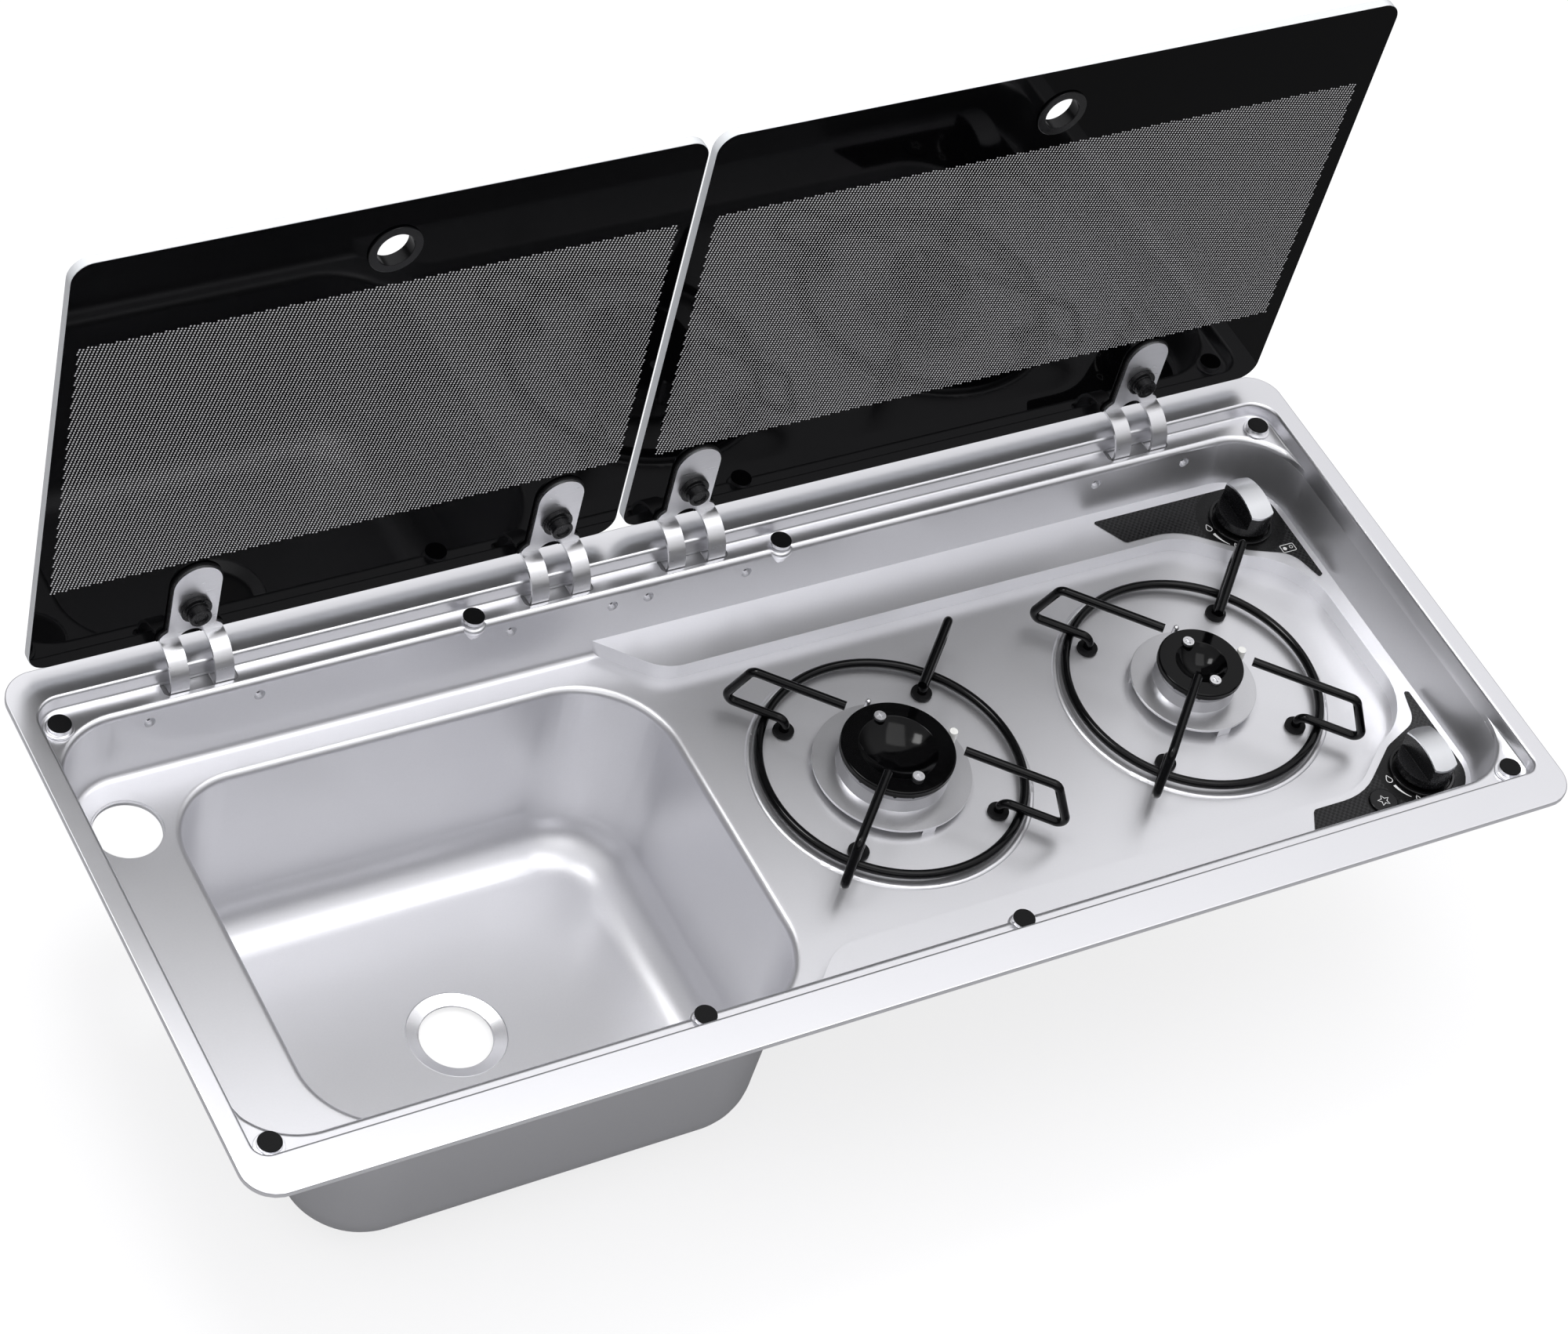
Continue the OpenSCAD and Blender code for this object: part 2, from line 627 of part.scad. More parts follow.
// Hob
function cup_r(d) = d / 2;
module feet(x) {
  for (a = [45:90:315]) translate([x + foot_r * cos(a), burner_y + foot_r * sin(a), 0]) children();
}
module rod(a, b) {
  v = b - a;
  translate(a) rotate([0, acos(v[2] / norm(v)), atan2(v[1], v[0])]) cylinder(d = wire_d, h = norm(v));
}
// Wire bent in the XZ plane through points [x, z, bend radius]
module wire(p) {
  for (i = [1:len(p) - 1]) {
    a = run_from(p, i);
    b = run_to(p, i);
    over = unit(b - a) * 0.3;
    c = i == 1 ? a : a - over;
    d = i == len(p) - 1 ? b : b + over;
    rod([c[0], 0, c[1]], [d[0], 0, d[1]]);
  }
  for (i = [1:len(p) - 2]) {
    c = corner(p, i);
    v = bend_start(c);
    translate([c[2][0], 0, c[2][1]]) rotate([90, 0, 0]) rotate([0, 0, atan2(v[1], v[0])])
      rotate_extrude(angle = bend_angle(c)) translate([p[i][2], 0]) circle(d = wire_d + 0.04);
  }
}
module pan_support(x, tip) {
  zt = zd + support_h - wire_d / 2;
  zw = zd + 9.5;
  translate([x, burner_y, 0]) {
    for (a = [45:90:315]) rotate([0, 0, a])
      wire([[foot_r, zd - 2], [foot_r, zw, bend_r + 0.6], [support_r, zw, bend_r],
        [support_r - 11.5, zt, bend_r], [tip, zt]]);
    translate([0, 0, zw - 4.7]) rotate_extrude() translate([ring_r, 0]) circle(d = wire_d);
  }
}
module left_pan_support() color(black) pan_support(burner_left_x, cap_left_d / 2 + 2);
module right_pan_support() color(black) pan_support(burner_right_x, cap_right_d / 2 + 1.4);

module grommets(x) {
  feet(x) difference() {
    union() {
      translate([0, 0, zd]) cylinder(r = 5.75, h = 2.5);
      translate([0, 0, zd - sheet]) cylinder(r = 4 - run_gap, h = sheet);
      translate([0, 0, zd - sheet - 2.5]) cylinder(r = 5, h = 2.5);
    }
    translate([0, 0, zd - 2]) cylinder(d = wire_d, h = 6);
  }
}
module left_support_grommets() color(rubber) grommets(burner_left_x);
module right_support_grommets() color(rubber) grommets(burner_right_x);

// Burner: cap radius, flange radius, cone foot radius, head radius, flange top, head foot, cap foot, cap top
bl = [cap_left_d / 2, 43, 30.5, cap_left_d / 2 - 2, -45, -38, -34, -29.3];
br = [cap_right_d / 2, 35.3, 22.8, cap_right_d / 2 - 2.5, -43.6, -36.5, -32.5, -28];
module burner_base(x, b) {
  rc = b[3] - 1;
  translate([x, burner_y, 0]) {
    difference() {
      rotate_extrude() polygon([[0, -76], [rc - 3, -76], [rc, -72], [rc, b[4] - 1.5], [b[1], b[4] - 1.5],
        [b[1], b[4]], [b[2], b[4]], [b[3], b[5]], [b[3] - 6, b[5]], [b[3] - 6, -72], [0, -72]]);
      for (p = [[0, 1], [1, 0]]) translate([p[0] * pin_r(b), p[1] * pin_r(b), b[4] - 5])
        cylinder(r = 2.6, h = 10);
    }
    for (a = [30:120:270]) rotate([0, 0, a]) translate([b[1] - 4.5, -4, zd]) cube([4, 8, b[4] - 1.5 - zd]);
  }
}
function pin_r(b) = b[0] + 2.55;
module left_burner_base() color(alu) burner_base(burner_left_x, bl);
module right_burner_base() color(alu) burner_base(burner_right_x, br);

module burner_head(x, b) {
  translate([x, burner_y, b[5]]) difference() {
    rotate_extrude() translate([b[3] - 6, 0]) square([6, b[6] - b[5]]);
    for (a = [0:20:340]) rotate([0, 0, a]) translate([b[3] - 3, 0, b[6] - b[5] - 1.4]) rotate([0, 90, 0])
      cylinder(r = 1, h = 5);
  }
}
module left_burner_head() color(alu) burner_head(burner_left_x, bl);
module right_burner_head() color(alu) burner_head(burner_right_x, br);

function dish_r(b) = b[0] - 10;
function screw_r(b) = b[0] - 9.6;
module burner_cap(x, b) {
  r = b[0];
  q = dish_r(b);
  translate([x, burner_y, 0]) difference() {
    union() {
      rotate_extrude() polygon([[0, b[7] - 8.5], [q - 4, b[7] - 8.5], [q + 0.5, b[6]], [r - 1, b[6]],
        [r, b[6] + 1], [r, b[7] - 1], [r - 1, b[7]], [q, b[7]], [q - 4.5, b[7] - 7], [0, b[7] - 7]]);
      for (s = [-1, 1]) translate([0, s * screw_r(b), b[6]]) cylinder(r = 3.4, h = b[7] - b[6]);
    }
    for (s = [-1, 1]) translate([0, s * screw_r(b), b[6] - 1]) cylinder(r = 1.6, h = 12);
  }
}
module left_burner_cap() color(black) burner_cap(burner_left_x, bl);
module right_burner_cap() color(black) burner_cap(burner_right_x, br);

module cap_screws(x, b) {
  for (s = [-1, 1]) translate([x, burner_y + s * screw_r(b), b[7]]) {
    difference() {
      cylinder(r = 3.2, h = 1.6);
      translate([-2, -0.4, 0.8]) cube([4, 0.8, 2]);
      translate([-0.4, -2, 0.8]) cube([0.8, 4, 2]);
    }
    translate([0, 0, b[6] - b[7]]) cylinder(r = 1.6 - run_gap, h = b[7] - b[6] + 0.5);
  }
}
module left_cap_screws() color(steel) cap_screws(burner_left_x, bl);
module right_cap_screws() color(steel) cap_screws(burner_right_x, br);

module igniter(x, b) {
  translate([x + pin_r(b), burner_y, 0]) {
    translate([0, 0, -62]) cylinder(r = 2.4, h = b[7] + 1 + 62);
    translate([0, 0, b[4] - 3.5]) cylinder(r = 4, h = 2);
  }
}
module left_igniter() color([0.93, 0.93, 0.9]) igniter(burner_left_x, bl);
module right_igniter() color([0.93, 0.93, 0.9]) igniter(burner_right_x, br);

module thermocouple(x, b) {
  translate([x, burner_y + pin_r(b), 0]) {
    translate([0, 0, -62]) cylinder(r = 1.6, h = b[7] + 61);
    translate([0, 0, b[7] - 1]) sphere(r = 1.6);
    translate([0, 0, b[4] - 3.5]) cylinder(r = 3.4, h = 2);
  }
}
module left_thermocouple() color(steel) thermocouple(burner_left_x, bl);
module right_thermocouple() color(steel) thermocouple(burner_right_x, br);

// Controls
module control_panel(pts, holes) {
  translate([0, 0, zl]) linear_extrude(panel_t) difference() {
    polygon(pts);
    for (h = holes) translate([h[0], h[1]]) circle(h[2]);
  }
}
panel_corners = [for (p = [[120, 44.1, 0], [130.5, 44.1, 1], [119.5, 63.3, 3], [86, 63.3, 40],
  [54.2, 88.5, 14], [29, 99, 16], [23.2, 119.1, 1], [20.6, 118, 1], [20.6, 44.1, 23], [50, 44.1, 0]])
  [hx - p[0], hy - p[1], p[2]]];
panel_back = rounded(panel_corners);
panel_front = rounded(mirrored(panel_corners, -1, -1.5));
module back_control_panel() color(black) control_panel(panel_back, [[kx, kyb, stem_r + 0.8]]);
module front_control_panel() color(black)
  control_panel(panel_front, [[kx, kyf, stem_r + 0.8], [button_x, button_y, button_d / 2 + 0.3]]);

module knob_bezel(y) {
  translate([kx, y, zp]) difference() {
    cylinder(d = knob_d + 5.5, h = 2);
    translate([0, 0, -1]) cylinder(d = knob_d + 1.5, h = 4);
  }
}
module back_knob_bezel() color(black) knob_bezel(kyb);
module front_knob_bezel() color(black) knob_bezel(kyf);

dome_r = (pow(knob_d / 2, 2) + pow(knob_dome, 2)) / (2 * knob_dome);
dome_z = knob_end + knob_dome - dome_r;
module dome_slice(r) {
  translate([-knob_bar_w / 2, 0, dome_z]) rotate([0, 90, 0]) cylinder(r = r, h = knob_bar_w);
}
module knob(y) {
  translate([kx, y, 0]) difference() {
    union() {
      translate([0, 0, knob_z0]) cylinder(d = knob_d, h = 5.5);
      intersection() {
        translate([0, 0, knob_z0]) cylinder(d = knob_d, h = 30);
        dome_slice(dome_r - 1.2);
      }
    }
    translate([0, 0, knob_z0 - 1]) cylinder(r = stem_r, h = 11);
  }
}
module back_knob() color(black) knob(kyb);
module front_knob() color(black) knob(kyf);
module strap(y) {
  translate([kx, y, 0]) intersection() {
    translate([0, 0, knob_z0]) cylinder(d = knob_d, h = 30);
    difference() {
      dome_slice(dome_r);
      dome_slice(dome_r - 1.2);
    }
  }
}
module back_knob_strap() color([0.8, 0.8, 0.8]) strap(kyb);
module front_knob_strap() color([0.8, 0.8, 0.8]) strap(kyf);

valve_z = zl - sheet;
valve_r = 13;
module valve_stem(y) {
  translate([kx, y, 0]) {
    translate([0, 0, valve_z - 26]) cylinder(r = stem_r, h = knob_z0 + 10 - valve_z + 26);
    translate([0, 0, valve_z - 6]) cylinder(r = 6, h = 2.95);
  }
}
module back_valve_stem() color(brass) valve_stem(kyb);
module front_valve_stem() color(brass) valve_stem(kyf);
module spring_cup(y) {
  translate([kx, y, valve_z - 9.02]) difference() {
    cylinder(r = 7, h = 3);
    translate([0, 0, -1]) cylinder(r = stem_r + run_gap, h = 5);
  }
}
module back_spring_cup() color(steel) spring_cup(kyb);
module front_spring_cup() color(steel) spring_cup(kyf);
module gas_valve(y) {
  translate([kx, y, 0]) difference() {
    translate([0, 0, valve_z - 31]) cylinder(r = valve_r, h = 31);
    translate([0, 0, valve_z - 14]) cylinder(r = 7.3, h = 11);
    translate([0, 0, valve_z - 30.2]) cylinder(r = stem_r + run_gap, h = 40);
  }
}
module back_gas_valve() color(brass) gas_valve(kyb);
module front_gas_valve() color(brass) gas_valve(kyf);

pipe_z = -66;
module gas_rail() color(brass) {
  translate([kx, kyb - valve_r, pipe_z]) rotate([90, 0, 0]) cylinder(r = 4, h = kyb - kyf - 2 * valve_r);
  translate([kx, kyb + valve_r, pipe_z]) rotate([-90, 0, 0]) cylinder(r = 4, h = 42);
}
// Pipe from a valve's side along -X, round an elbow and on to the burner's cup
module gas_pipe(bx0, b, y, s) {
  e = burner_y + s * (b[3] - 1);
  difference() {
    translate([bx0 + 10, y, pipe_z]) rotate([0, 90, 0]) cylinder(r = 3, h = kx - 12 - bx0 - 10);
    translate([kx, y, pipe_z - 5]) cylinder(r = valve_r + eps, h = 10);
  }
  translate([bx0 + 10, y - s * 10, pipe_z]) rotate([0, 0, s > 0 ? 90 : 180])
    rotate_extrude(angle = 90) translate([10, 0]) circle(3);
  translate([bx0, y - s * 10, pipe_z]) rotate([s * 90, 0, 0]) cylinder(r = 3, h = abs(y - s * 10 - e));
}
module left_gas_pipe() color(brass) gas_pipe(burner_left_x, bl, kyf, -1);
module right_gas_pipe() color(brass) gas_pipe(burner_right_x, br, kyb, 1);

module ignition_button() color(black) {
  translate([button_x, button_y, 0]) {
    translate([0, 0, valve_z - 2]) cylinder(d = button_d, h = zp + 1.3 - valve_z + 2);
    translate([0, 0, valve_z - 11]) cylinder(r = 3, h = 9);
  }
}
module piezo_igniter() color([0.85, 0.85, 0.82]) {
  translate([button_x, button_y, valve_z - 16]) difference() {
    cylinder(d = button_d + 5, h = 16);
    translate([0, 0, 11]) cylinder(d = button_d + 0.6, h = 6);
    translate([0, 0, 2]) cylinder(r = 3 + run_gap, h = 20);
  }
}

rim_frame();
rim_seal();
sink_deck();
sink_bowl();
waste_seat();
tap_plate();
hob_deck();
bumper_pads();
left_glass();
right_glass();
left_finger_ring();
right_finger_ring();
left_hinge_brackets();
right_hinge_brackets();
left_hinge_gaskets();
right_hinge_gaskets();
left_hinge_bolts();
right_hinge_bolts();
hinge_housings();
hinge_pins();
left_pan_support();
right_pan_support();
left_support_grommets();
right_support_grommets();
left_burner_base();
right_burner_base();
left_burner_head();
right_burner_head();
left_burner_cap();
right_burner_cap();
left_cap_screws();
right_cap_screws();
left_igniter();
right_igniter();
left_thermocouple();
right_thermocouple();
back_control_panel();
front_control_panel();
back_knob_bezel();
front_knob_bezel();
back_knob();
front_knob();
back_knob_strap();
front_knob_strap();
back_valve_stem();
front_valve_stem();
back_spring_cup();
front_spring_cup();
back_gas_valve();
front_gas_valve();
gas_rail();
left_gas_pipe();
right_gas_pipe();
ignition_button();
piezo_igniter();
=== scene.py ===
"""Looks of a pressed hob and sink unit with two folding glass lids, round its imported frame."""

import json
import logging
import math
from dataclasses import dataclass, field, replace
from enum import Enum
from typing import Callable

import bmesh
import bpy
from mathutils import Matrix, Vector

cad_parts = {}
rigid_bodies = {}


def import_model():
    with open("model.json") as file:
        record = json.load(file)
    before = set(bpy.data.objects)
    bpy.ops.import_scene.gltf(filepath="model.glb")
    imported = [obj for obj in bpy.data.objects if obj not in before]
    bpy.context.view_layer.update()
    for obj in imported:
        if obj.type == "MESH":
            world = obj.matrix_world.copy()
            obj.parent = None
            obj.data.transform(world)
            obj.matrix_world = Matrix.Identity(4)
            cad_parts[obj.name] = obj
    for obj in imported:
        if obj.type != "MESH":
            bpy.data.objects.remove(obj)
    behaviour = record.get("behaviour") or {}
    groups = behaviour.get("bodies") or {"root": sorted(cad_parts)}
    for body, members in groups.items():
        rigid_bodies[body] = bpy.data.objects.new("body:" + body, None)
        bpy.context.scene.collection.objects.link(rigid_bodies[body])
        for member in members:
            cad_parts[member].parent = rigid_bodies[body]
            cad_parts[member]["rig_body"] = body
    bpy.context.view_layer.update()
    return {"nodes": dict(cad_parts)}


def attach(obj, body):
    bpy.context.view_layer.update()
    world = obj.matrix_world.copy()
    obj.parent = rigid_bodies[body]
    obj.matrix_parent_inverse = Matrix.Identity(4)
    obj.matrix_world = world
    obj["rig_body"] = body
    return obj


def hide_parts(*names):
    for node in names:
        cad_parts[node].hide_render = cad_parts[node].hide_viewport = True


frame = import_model()

Socket = bpy.types.NodeSocket
Mesh = bmesh.types.BMesh
Object = bpy.types.Object

MM = 0.001
MERGE = 2e-6
WELD = 1e-6
NIL = 1e-9
FLAT_ANGLE = 0.6
KNOBS = {"back": (334.0, 93.6), "front": (334.0, -96.9)}
BUTTON = (301.0, -108.5)
LIP_STEPS = 28
LOG = logging.getLogger("hob_and_sink")


class Crease(Enum):
    """How far a surface has to turn at an edge before the edge is a crease, in degrees."""

    GLASS = 60.0
    SOFT = 50.0
    PLAIN = 30.0
    FINE = 18.0


# ---------------------------------------------------------------- materials


class NodeBoard:
    """Adds nodes to the shader tree of one material or world and wires them."""

    def __init__(self, owner: bpy.types.ID, output: str = "ShaderNodeOutputMaterial") -> None:
        """Start the tree with its output node.

        Args:
            owner: The material or world.
            output: Blender's type name of the output node.
        """
        self.owner = owner
        owner.use_nodes = True
        self.tree = owner.node_tree
        self.tree.nodes.clear()
        self.output = self.add(output)

    def add(self, kind: str, **settings: object) -> bpy.types.Node:
        """Add a node and set its properties.

        Args:
            kind: Blender's type name of the node.
            **settings: Properties of the node and their values.

        Returns:
            The new node.
        """
        node = self.tree.nodes.new(kind)
        for key, value in settings.items():
            setattr(node, key, value)
        return node

    def wire(self, source: Socket, target: Socket) -> None:
        """Join two sockets."""
        self.tree.links.new(source, target)

    def object_place(
        self, scale: tuple = (1.0, 1.0, 1.0), shift: tuple = (0.0, 0.0, 0.0)
    ) -> Socket:
        """Give the object's own coordinates, shifted and scaled.

        Args:
            scale: Scale along the three axes.
            shift: Shift along the three axes.

        Returns:
            The vector socket.
        """
        coordinates = self.add("ShaderNodeTexCoord")
        mapping = self.add("ShaderNodeMapping")
        mapping.inputs["Scale"].default_value = scale
        mapping.inputs["Location"].default_value = shift
        self.wire(coordinates.outputs["Object"], mapping.inputs["Vector"])
        return mapping.outputs["Vector"]

    def noise(self, vector: Socket, scale: float, detail: float) -> Socket:
        """Add a noise texture.

        Args:
            vector: Where the noise is read.
            scale: Its scale, in lumps per metre.
            detail: Its octaves.

        Returns:
            The socket of its value.
        """
        node = self.add("ShaderNodeTexNoise")
        node.inputs["Scale"].default_value = scale
        node.inputs["Detail"].default_value = detail
        self.wire(vector, node.inputs["Vector"])
        return node.outputs["Fac"]

    def spread(self, value: Socket, low: float, high: float) -> Socket:
        """Map a value from about 0.3 to 0.7 onto a new range.

        Args:
            value: The socket to map.
            low: What 0.3 becomes.
            high: What 0.7 becomes.

        Returns:
            The mapped socket.
        """
        node = self.add("ShaderNodeMapRange")
        node.inputs["From Min"].default_value = 0.3
        node.inputs["From Max"].default_value = 0.7
        node.inputs["To Min"].default_value = low
        node.inputs["To Max"].default_value = high
        self.wire(value, node.inputs["Value"])
        return node.outputs["Result"]

    def math(self, operation: str, a: object, b: object = 0.0, c: object = 0.0) -> Socket:
        """Add a math node of numbers or sockets.

        Args:
            operation: Blender's name of the operation.
            a: First number or socket.
            b: Second number or socket.
            c: Third number or socket.

        Returns:
            The socket of the result.
        """
        node = self.add("ShaderNodeMath", operation=operation)
        for slot, value in zip(node.inputs, (a, b, c)):
            if isinstance(value, Socket):
                self.wire(value, slot)
            else:
                slot.default_value = value
        return node.outputs[0]

    def weigh(self, a: Socket, share_a: object, b: Socket, share_b: object) -> Socket:
        """Add two values, each times its share."""
        return self.math("MULTIPLY_ADD", a, share_a, self.math("MULTIPLY", b, share_b))

    def blend(self, share: Socket, low: tuple, high: tuple) -> Socket:
        """Mix two colours.

        Args:
            share: Share of the second colour.
            low: First colour.
            high: Second colour.

        Returns:
            The colour socket.
        """
        node = self.add("ShaderNodeMix", data_type="RGBA")
        self.wire(share, node.inputs[0])
        node.inputs[6].default_value = (*low, 1.0)
        node.inputs[7].default_value = (*high, 1.0)
        return node.outputs[2]

    def bump(self, height: Socket, strength: float, depth: float) -> Socket:
        """Add a bump.

        Args:
            height: The socket that it follows.
            strength: Its strength.
            depth: Its depth in metres.

        Returns:
            The socket of the bumped normal.
        """
        node = self.add("ShaderNodeBump")
        node.inputs["Strength"].default_value = strength
        node.inputs["Distance"].default_value = depth
        self.wire(height, node.inputs["Height"])
        return node.outputs["Normal"]


@dataclass(frozen=True)
class Finish:
    """A surface finish: its colour, gloss and fine grain. No name is one of the frame's own.

    The clouds are broad, soft patches: their lumps per metre and their octaves.
    """

    name: str
    slot: str
    colour: tuple
    roughness: float
    metallic: float = 0.0
    coat: float = 0.0
    coat_rough: float = 0.05
    specular: float = 0.5
    tone: float = 0.06
    rough_spread: float = 0.05
    grain: float = 900.0
    stretch: tuple = (1.0, 1.0, 1.0)
    relief: float = 0.04
    relief_depth: float = 0.00005
    octaves: float = 4.0
    clouds: tuple = (14.0, 2.0)
    smoothest: float = 0.02

    def surface(self, board: NodeBoard) -> bpy.types.Node:
        """Build the shader with its grain.

        Args:
            board: The material's nodes.

        Returns:
            The shader node.
        """
        shader = board.add("ShaderNodeBsdfPrincipled")
        place = board.object_place(self.stretch)
        fine = board.noise(place, self.grain, self.octaves)
        broad = board.noise(board.object_place(), *self.clouds)
        dark = tuple(c * (1.0 - self.tone) for c in self.colour)
        light = tuple(min(1.0, c * (1.0 + self.tone)) for c in self.colour)
        share = board.spread(board.weigh(fine, 0.5, broad, 0.5), 0.0, 1.0)
        board.wire(board.blend(share, dark, light), shader.inputs["Base Color"])
        smooth = max(self.smoothest, self.roughness - self.rough_spread)
        rough = board.spread(fine, smooth, self.roughness + self.rough_spread)
        board.wire(rough, shader.inputs["Roughness"])
        shader.inputs["Metallic"].default_value = self.metallic
        shader.inputs["Specular IOR Level"].default_value = self.specular
        shader.inputs["Coat Weight"].default_value = self.coat
        shader.inputs["Coat Roughness"].default_value = self.coat_rough
        if self.relief > 0.0:
            normal = board.bump(fine, self.relief, self.relief_depth)
            board.wire(normal, shader.inputs["Normal"])
        return shader

    def shade(self, board: NodeBoard) -> bpy.types.Node:
        """Build the whole look, here without a pattern, and return its last node."""
        return self.surface(board)

    def make(self) -> bpy.types.Material:
        """Make the material once.

        Returns:
            The material, the same one at every call.
        """
        known = bpy.data.materials.get(self.name)
        if known is None:
            known = bpy.data.materials.new(self.name)
            board = NodeBoard(known)
            board.wire(self.shade(board).outputs[0], board.output.inputs["Surface"])
        return known


@dataclass(frozen=True)
class DotField:
    """A printed field of clear dots: its limits and its two steps, in millimetres."""

    x0: float
    x1: float
    z0: float
    z1: float
    step_a: tuple = (1.86, -0.45)
    step_b: tuple = (-0.41, -1.41)
    dot_r: float = 0.48


@dataclass(frozen=True)
class PrintedGlass(Finish):
    """Black printed glass with a field of small clear dots."""

    dots: DotField | None = None
    dot_colour: tuple = (0.95, 0.95, 0.96)
    dot_rough: float = 0.1

    def mask(self, board: NodeBoard) -> Socket:
        """Build the mask of the dots.

        Args:
            board: The material's nodes.

        Returns:
            A socket that is 1 on a dot and 0 elsewhere.
        """
        dots = self.dots
        split = board.add("ShaderNodeSeparateXYZ")
        board.wire(board.object_place((1000.0, 1000.0, 1000.0)), split.inputs[0])
        x, z = split.outputs["X"], split.outputs["Z"]
        (ax, az), (bx, bz) = dots.step_a, dots.step_b
        det = ax * bz - az * bx
        u = board.math("ROUND", board.weigh(x, bz / det, z, -bx / det))
        v = board.math("ROUND", board.weigh(x, -az / det, z, ax / det))
        cx, cz = board.weigh(u, ax, v, bx), board.weigh(u, az, v, bz)
        dx = board.math("SUBTRACT", x, cx)
        dz = board.math("SUBTRACT", z, cz)
        mask = board.math("LESS_THAN", board.weigh(dx, dx, dz, dz), dots.dot_r**2)
        for low, high, centre in ((dots.x0, dots.x1, cx), (dots.z0, dots.z1, cz)):
            half = (high - low) / 2.0
            away = board.math("ABSOLUTE", board.math("SUBTRACT", centre, (high + low) / 2.0))
            mask = board.math("MULTIPLY", mask, board.math("LESS_THAN", away, half))
        return mask

    def shade(self, board: NodeBoard) -> bpy.types.Node:
        """Mix the clear dots into the black print.

        Args:
            board: The material's nodes.

        Returns:
            The mixing node.
        """
        dark = self.surface(board)
        clear = board.add("ShaderNodeBsdfPrincipled")
        clear.inputs["Base Color"].default_value = (*self.dot_colour, 1.0)
        clear.inputs["Roughness"].default_value = self.dot_rough
        mix = board.add("ShaderNodeMixShader")
        board.wire(self.mask(board), mix.inputs[0])
        board.wire(dark.outputs[0], mix.inputs[1])
        board.wire(clear.outputs[0], mix.inputs[2])
        return mix


@dataclass(frozen=True)
class CheckedPanel(Finish):
    """A black panel with a fine checkered weave in its surface."""

    pitch: float = 0.0016
    phase: float = 0.0004
    shades: tuple = (0.55, 2.4)
    weave: float = 0.35
    weave_depth: float = 0.00008
    plain_spots: tuple = ()

    def shade(self, board: NodeBoard) -> bpy.types.Node:
        """Add the weave, left out in the plain spots.

        Args:
            board: The material's nodes.

        Returns:
            The shader node.
        """
        shader = self.surface(board)
        checker = board.add("ShaderNodeTexChecker")
        checker.inputs["Scale"].default_value = 1.0 / self.pitch
        board.wire(board.object_place(shift=(0.0, 0.0, self.phase)), checker.inputs["Vector"])
        share = checker.outputs["Fac"]
        split = board.add("ShaderNodeSeparateXYZ")
        board.wire(board.object_place(), split.inputs[0])
        for x, y, r in self.plain_spots:
            dx = board.math("SUBTRACT", split.outputs["X"], x * MM)
            dy = board.math("SUBTRACT", split.outputs["Y"], y * MM)
            outside = board.math("GREATER_THAN", board.weigh(dx, dx, dy, dy), (r * MM) ** 2)
            share = board.math("MULTIPLY", share, outside)
        low, high = (tuple(c * factor for c in self.colour) for factor in self.shades)
        board.wire(board.blend(share, low, high), shader.inputs["Base Color"])
        board.wire(board.bump(share, self.weave, self.weave_depth), shader.inputs["Normal"])
        return shader


STAINLESS = Finish(
    "satin_stainless", "stainless", (0.79, 0.79, 0.815), 0.35,
    metallic=0.87, tone=0.02, rough_spread=0.02, relief=0.02,
)
RIM_STEEL = Finish(
    "rim_stainless", "stainless", (0.87, 0.87, 0.895), 0.29,
    metallic=0.94, tone=0.01, rough_spread=0.01, relief=0.008,
)
SEAT_STEEL = Finish(
    "seat_stainless", "stainless", (0.92, 0.92, 0.94), 0.26,
    metallic=0.9, tone=0.01, rough_spread=0.01, relief=0.005,
)
HOUSING_STEEL = Finish(
    "housing_steel", "bright_steel", (0.34, 0.34, 0.35), 0.38,
    metallic=0.95, tone=0.04, grain=700.0, relief=0.05,
)
BRIGHT_STEEL = Finish(
    "polished_steel", "bright_steel", (0.80, 0.80, 0.82), 0.32,
    metallic=0.96, tone=0.04, grain=700.0, stretch=(0.12, 1.0, 1.0), relief=0.06,
)
RUBBER = Finish(
    "moulded_rubber", "black_rubber", (0.006, 0.006, 0.0065), 0.5, specular=0.12, relief=0.15
)
ENAMEL = Finish(
    "gloss_enamel", "black_enamel", (0.001, 0.001, 0.0012), 0.12,
    specular=0.18, rough_spread=0.02, grain=300.0, relief=0.01,
)
WIRE_ENAMEL = Finish(
    "wire_enamel", "black_enamel", (0.002, 0.002, 0.0024), 0.14,
    specular=0.22, rough_spread=0.03, grain=500.0, relief=0.04,
)
ALUMINIUM = Finish(
    "cast_burner_base", "cast_aluminium", (0.66, 0.66, 0.68), 0.33,
    metallic=0.95, tone=0.05, grain=1400.0, relief=0.04,
)
# A darker copy of the burner base's aluminium: painted shade on the head under the cap.
SHADED_HEAD_ALUMINIUM = Finish(
    "burner_head_painted_shade", "cast_aluminium", (0.30, 0.30, 0.315), 0.32,
    metallic=0.95, tone=0.08, grain=1400.0, relief=0.12,
)
CERAMIC = Finish(
    "glazed_ceramic", "white_ceramic", (0.86, 0.86, 0.83), 0.22, coat=0.3, relief=0.02
)
SILVER = Finish(
    "brushed_strap", "silver_strap", (0.76, 0.77, 0.79), 0.3,
    metallic=0.95, tone=0.02, rough_spread=0.02,
    grain=1500.0, stretch=(1.0, 0.08, 0.08), relief=0.012,
)
KNOB_BLACK = Finish(
    "knob_black", "black_plastic", (0.008, 0.008, 0.009), 0.27, specular=0.28, relief=0.05
)
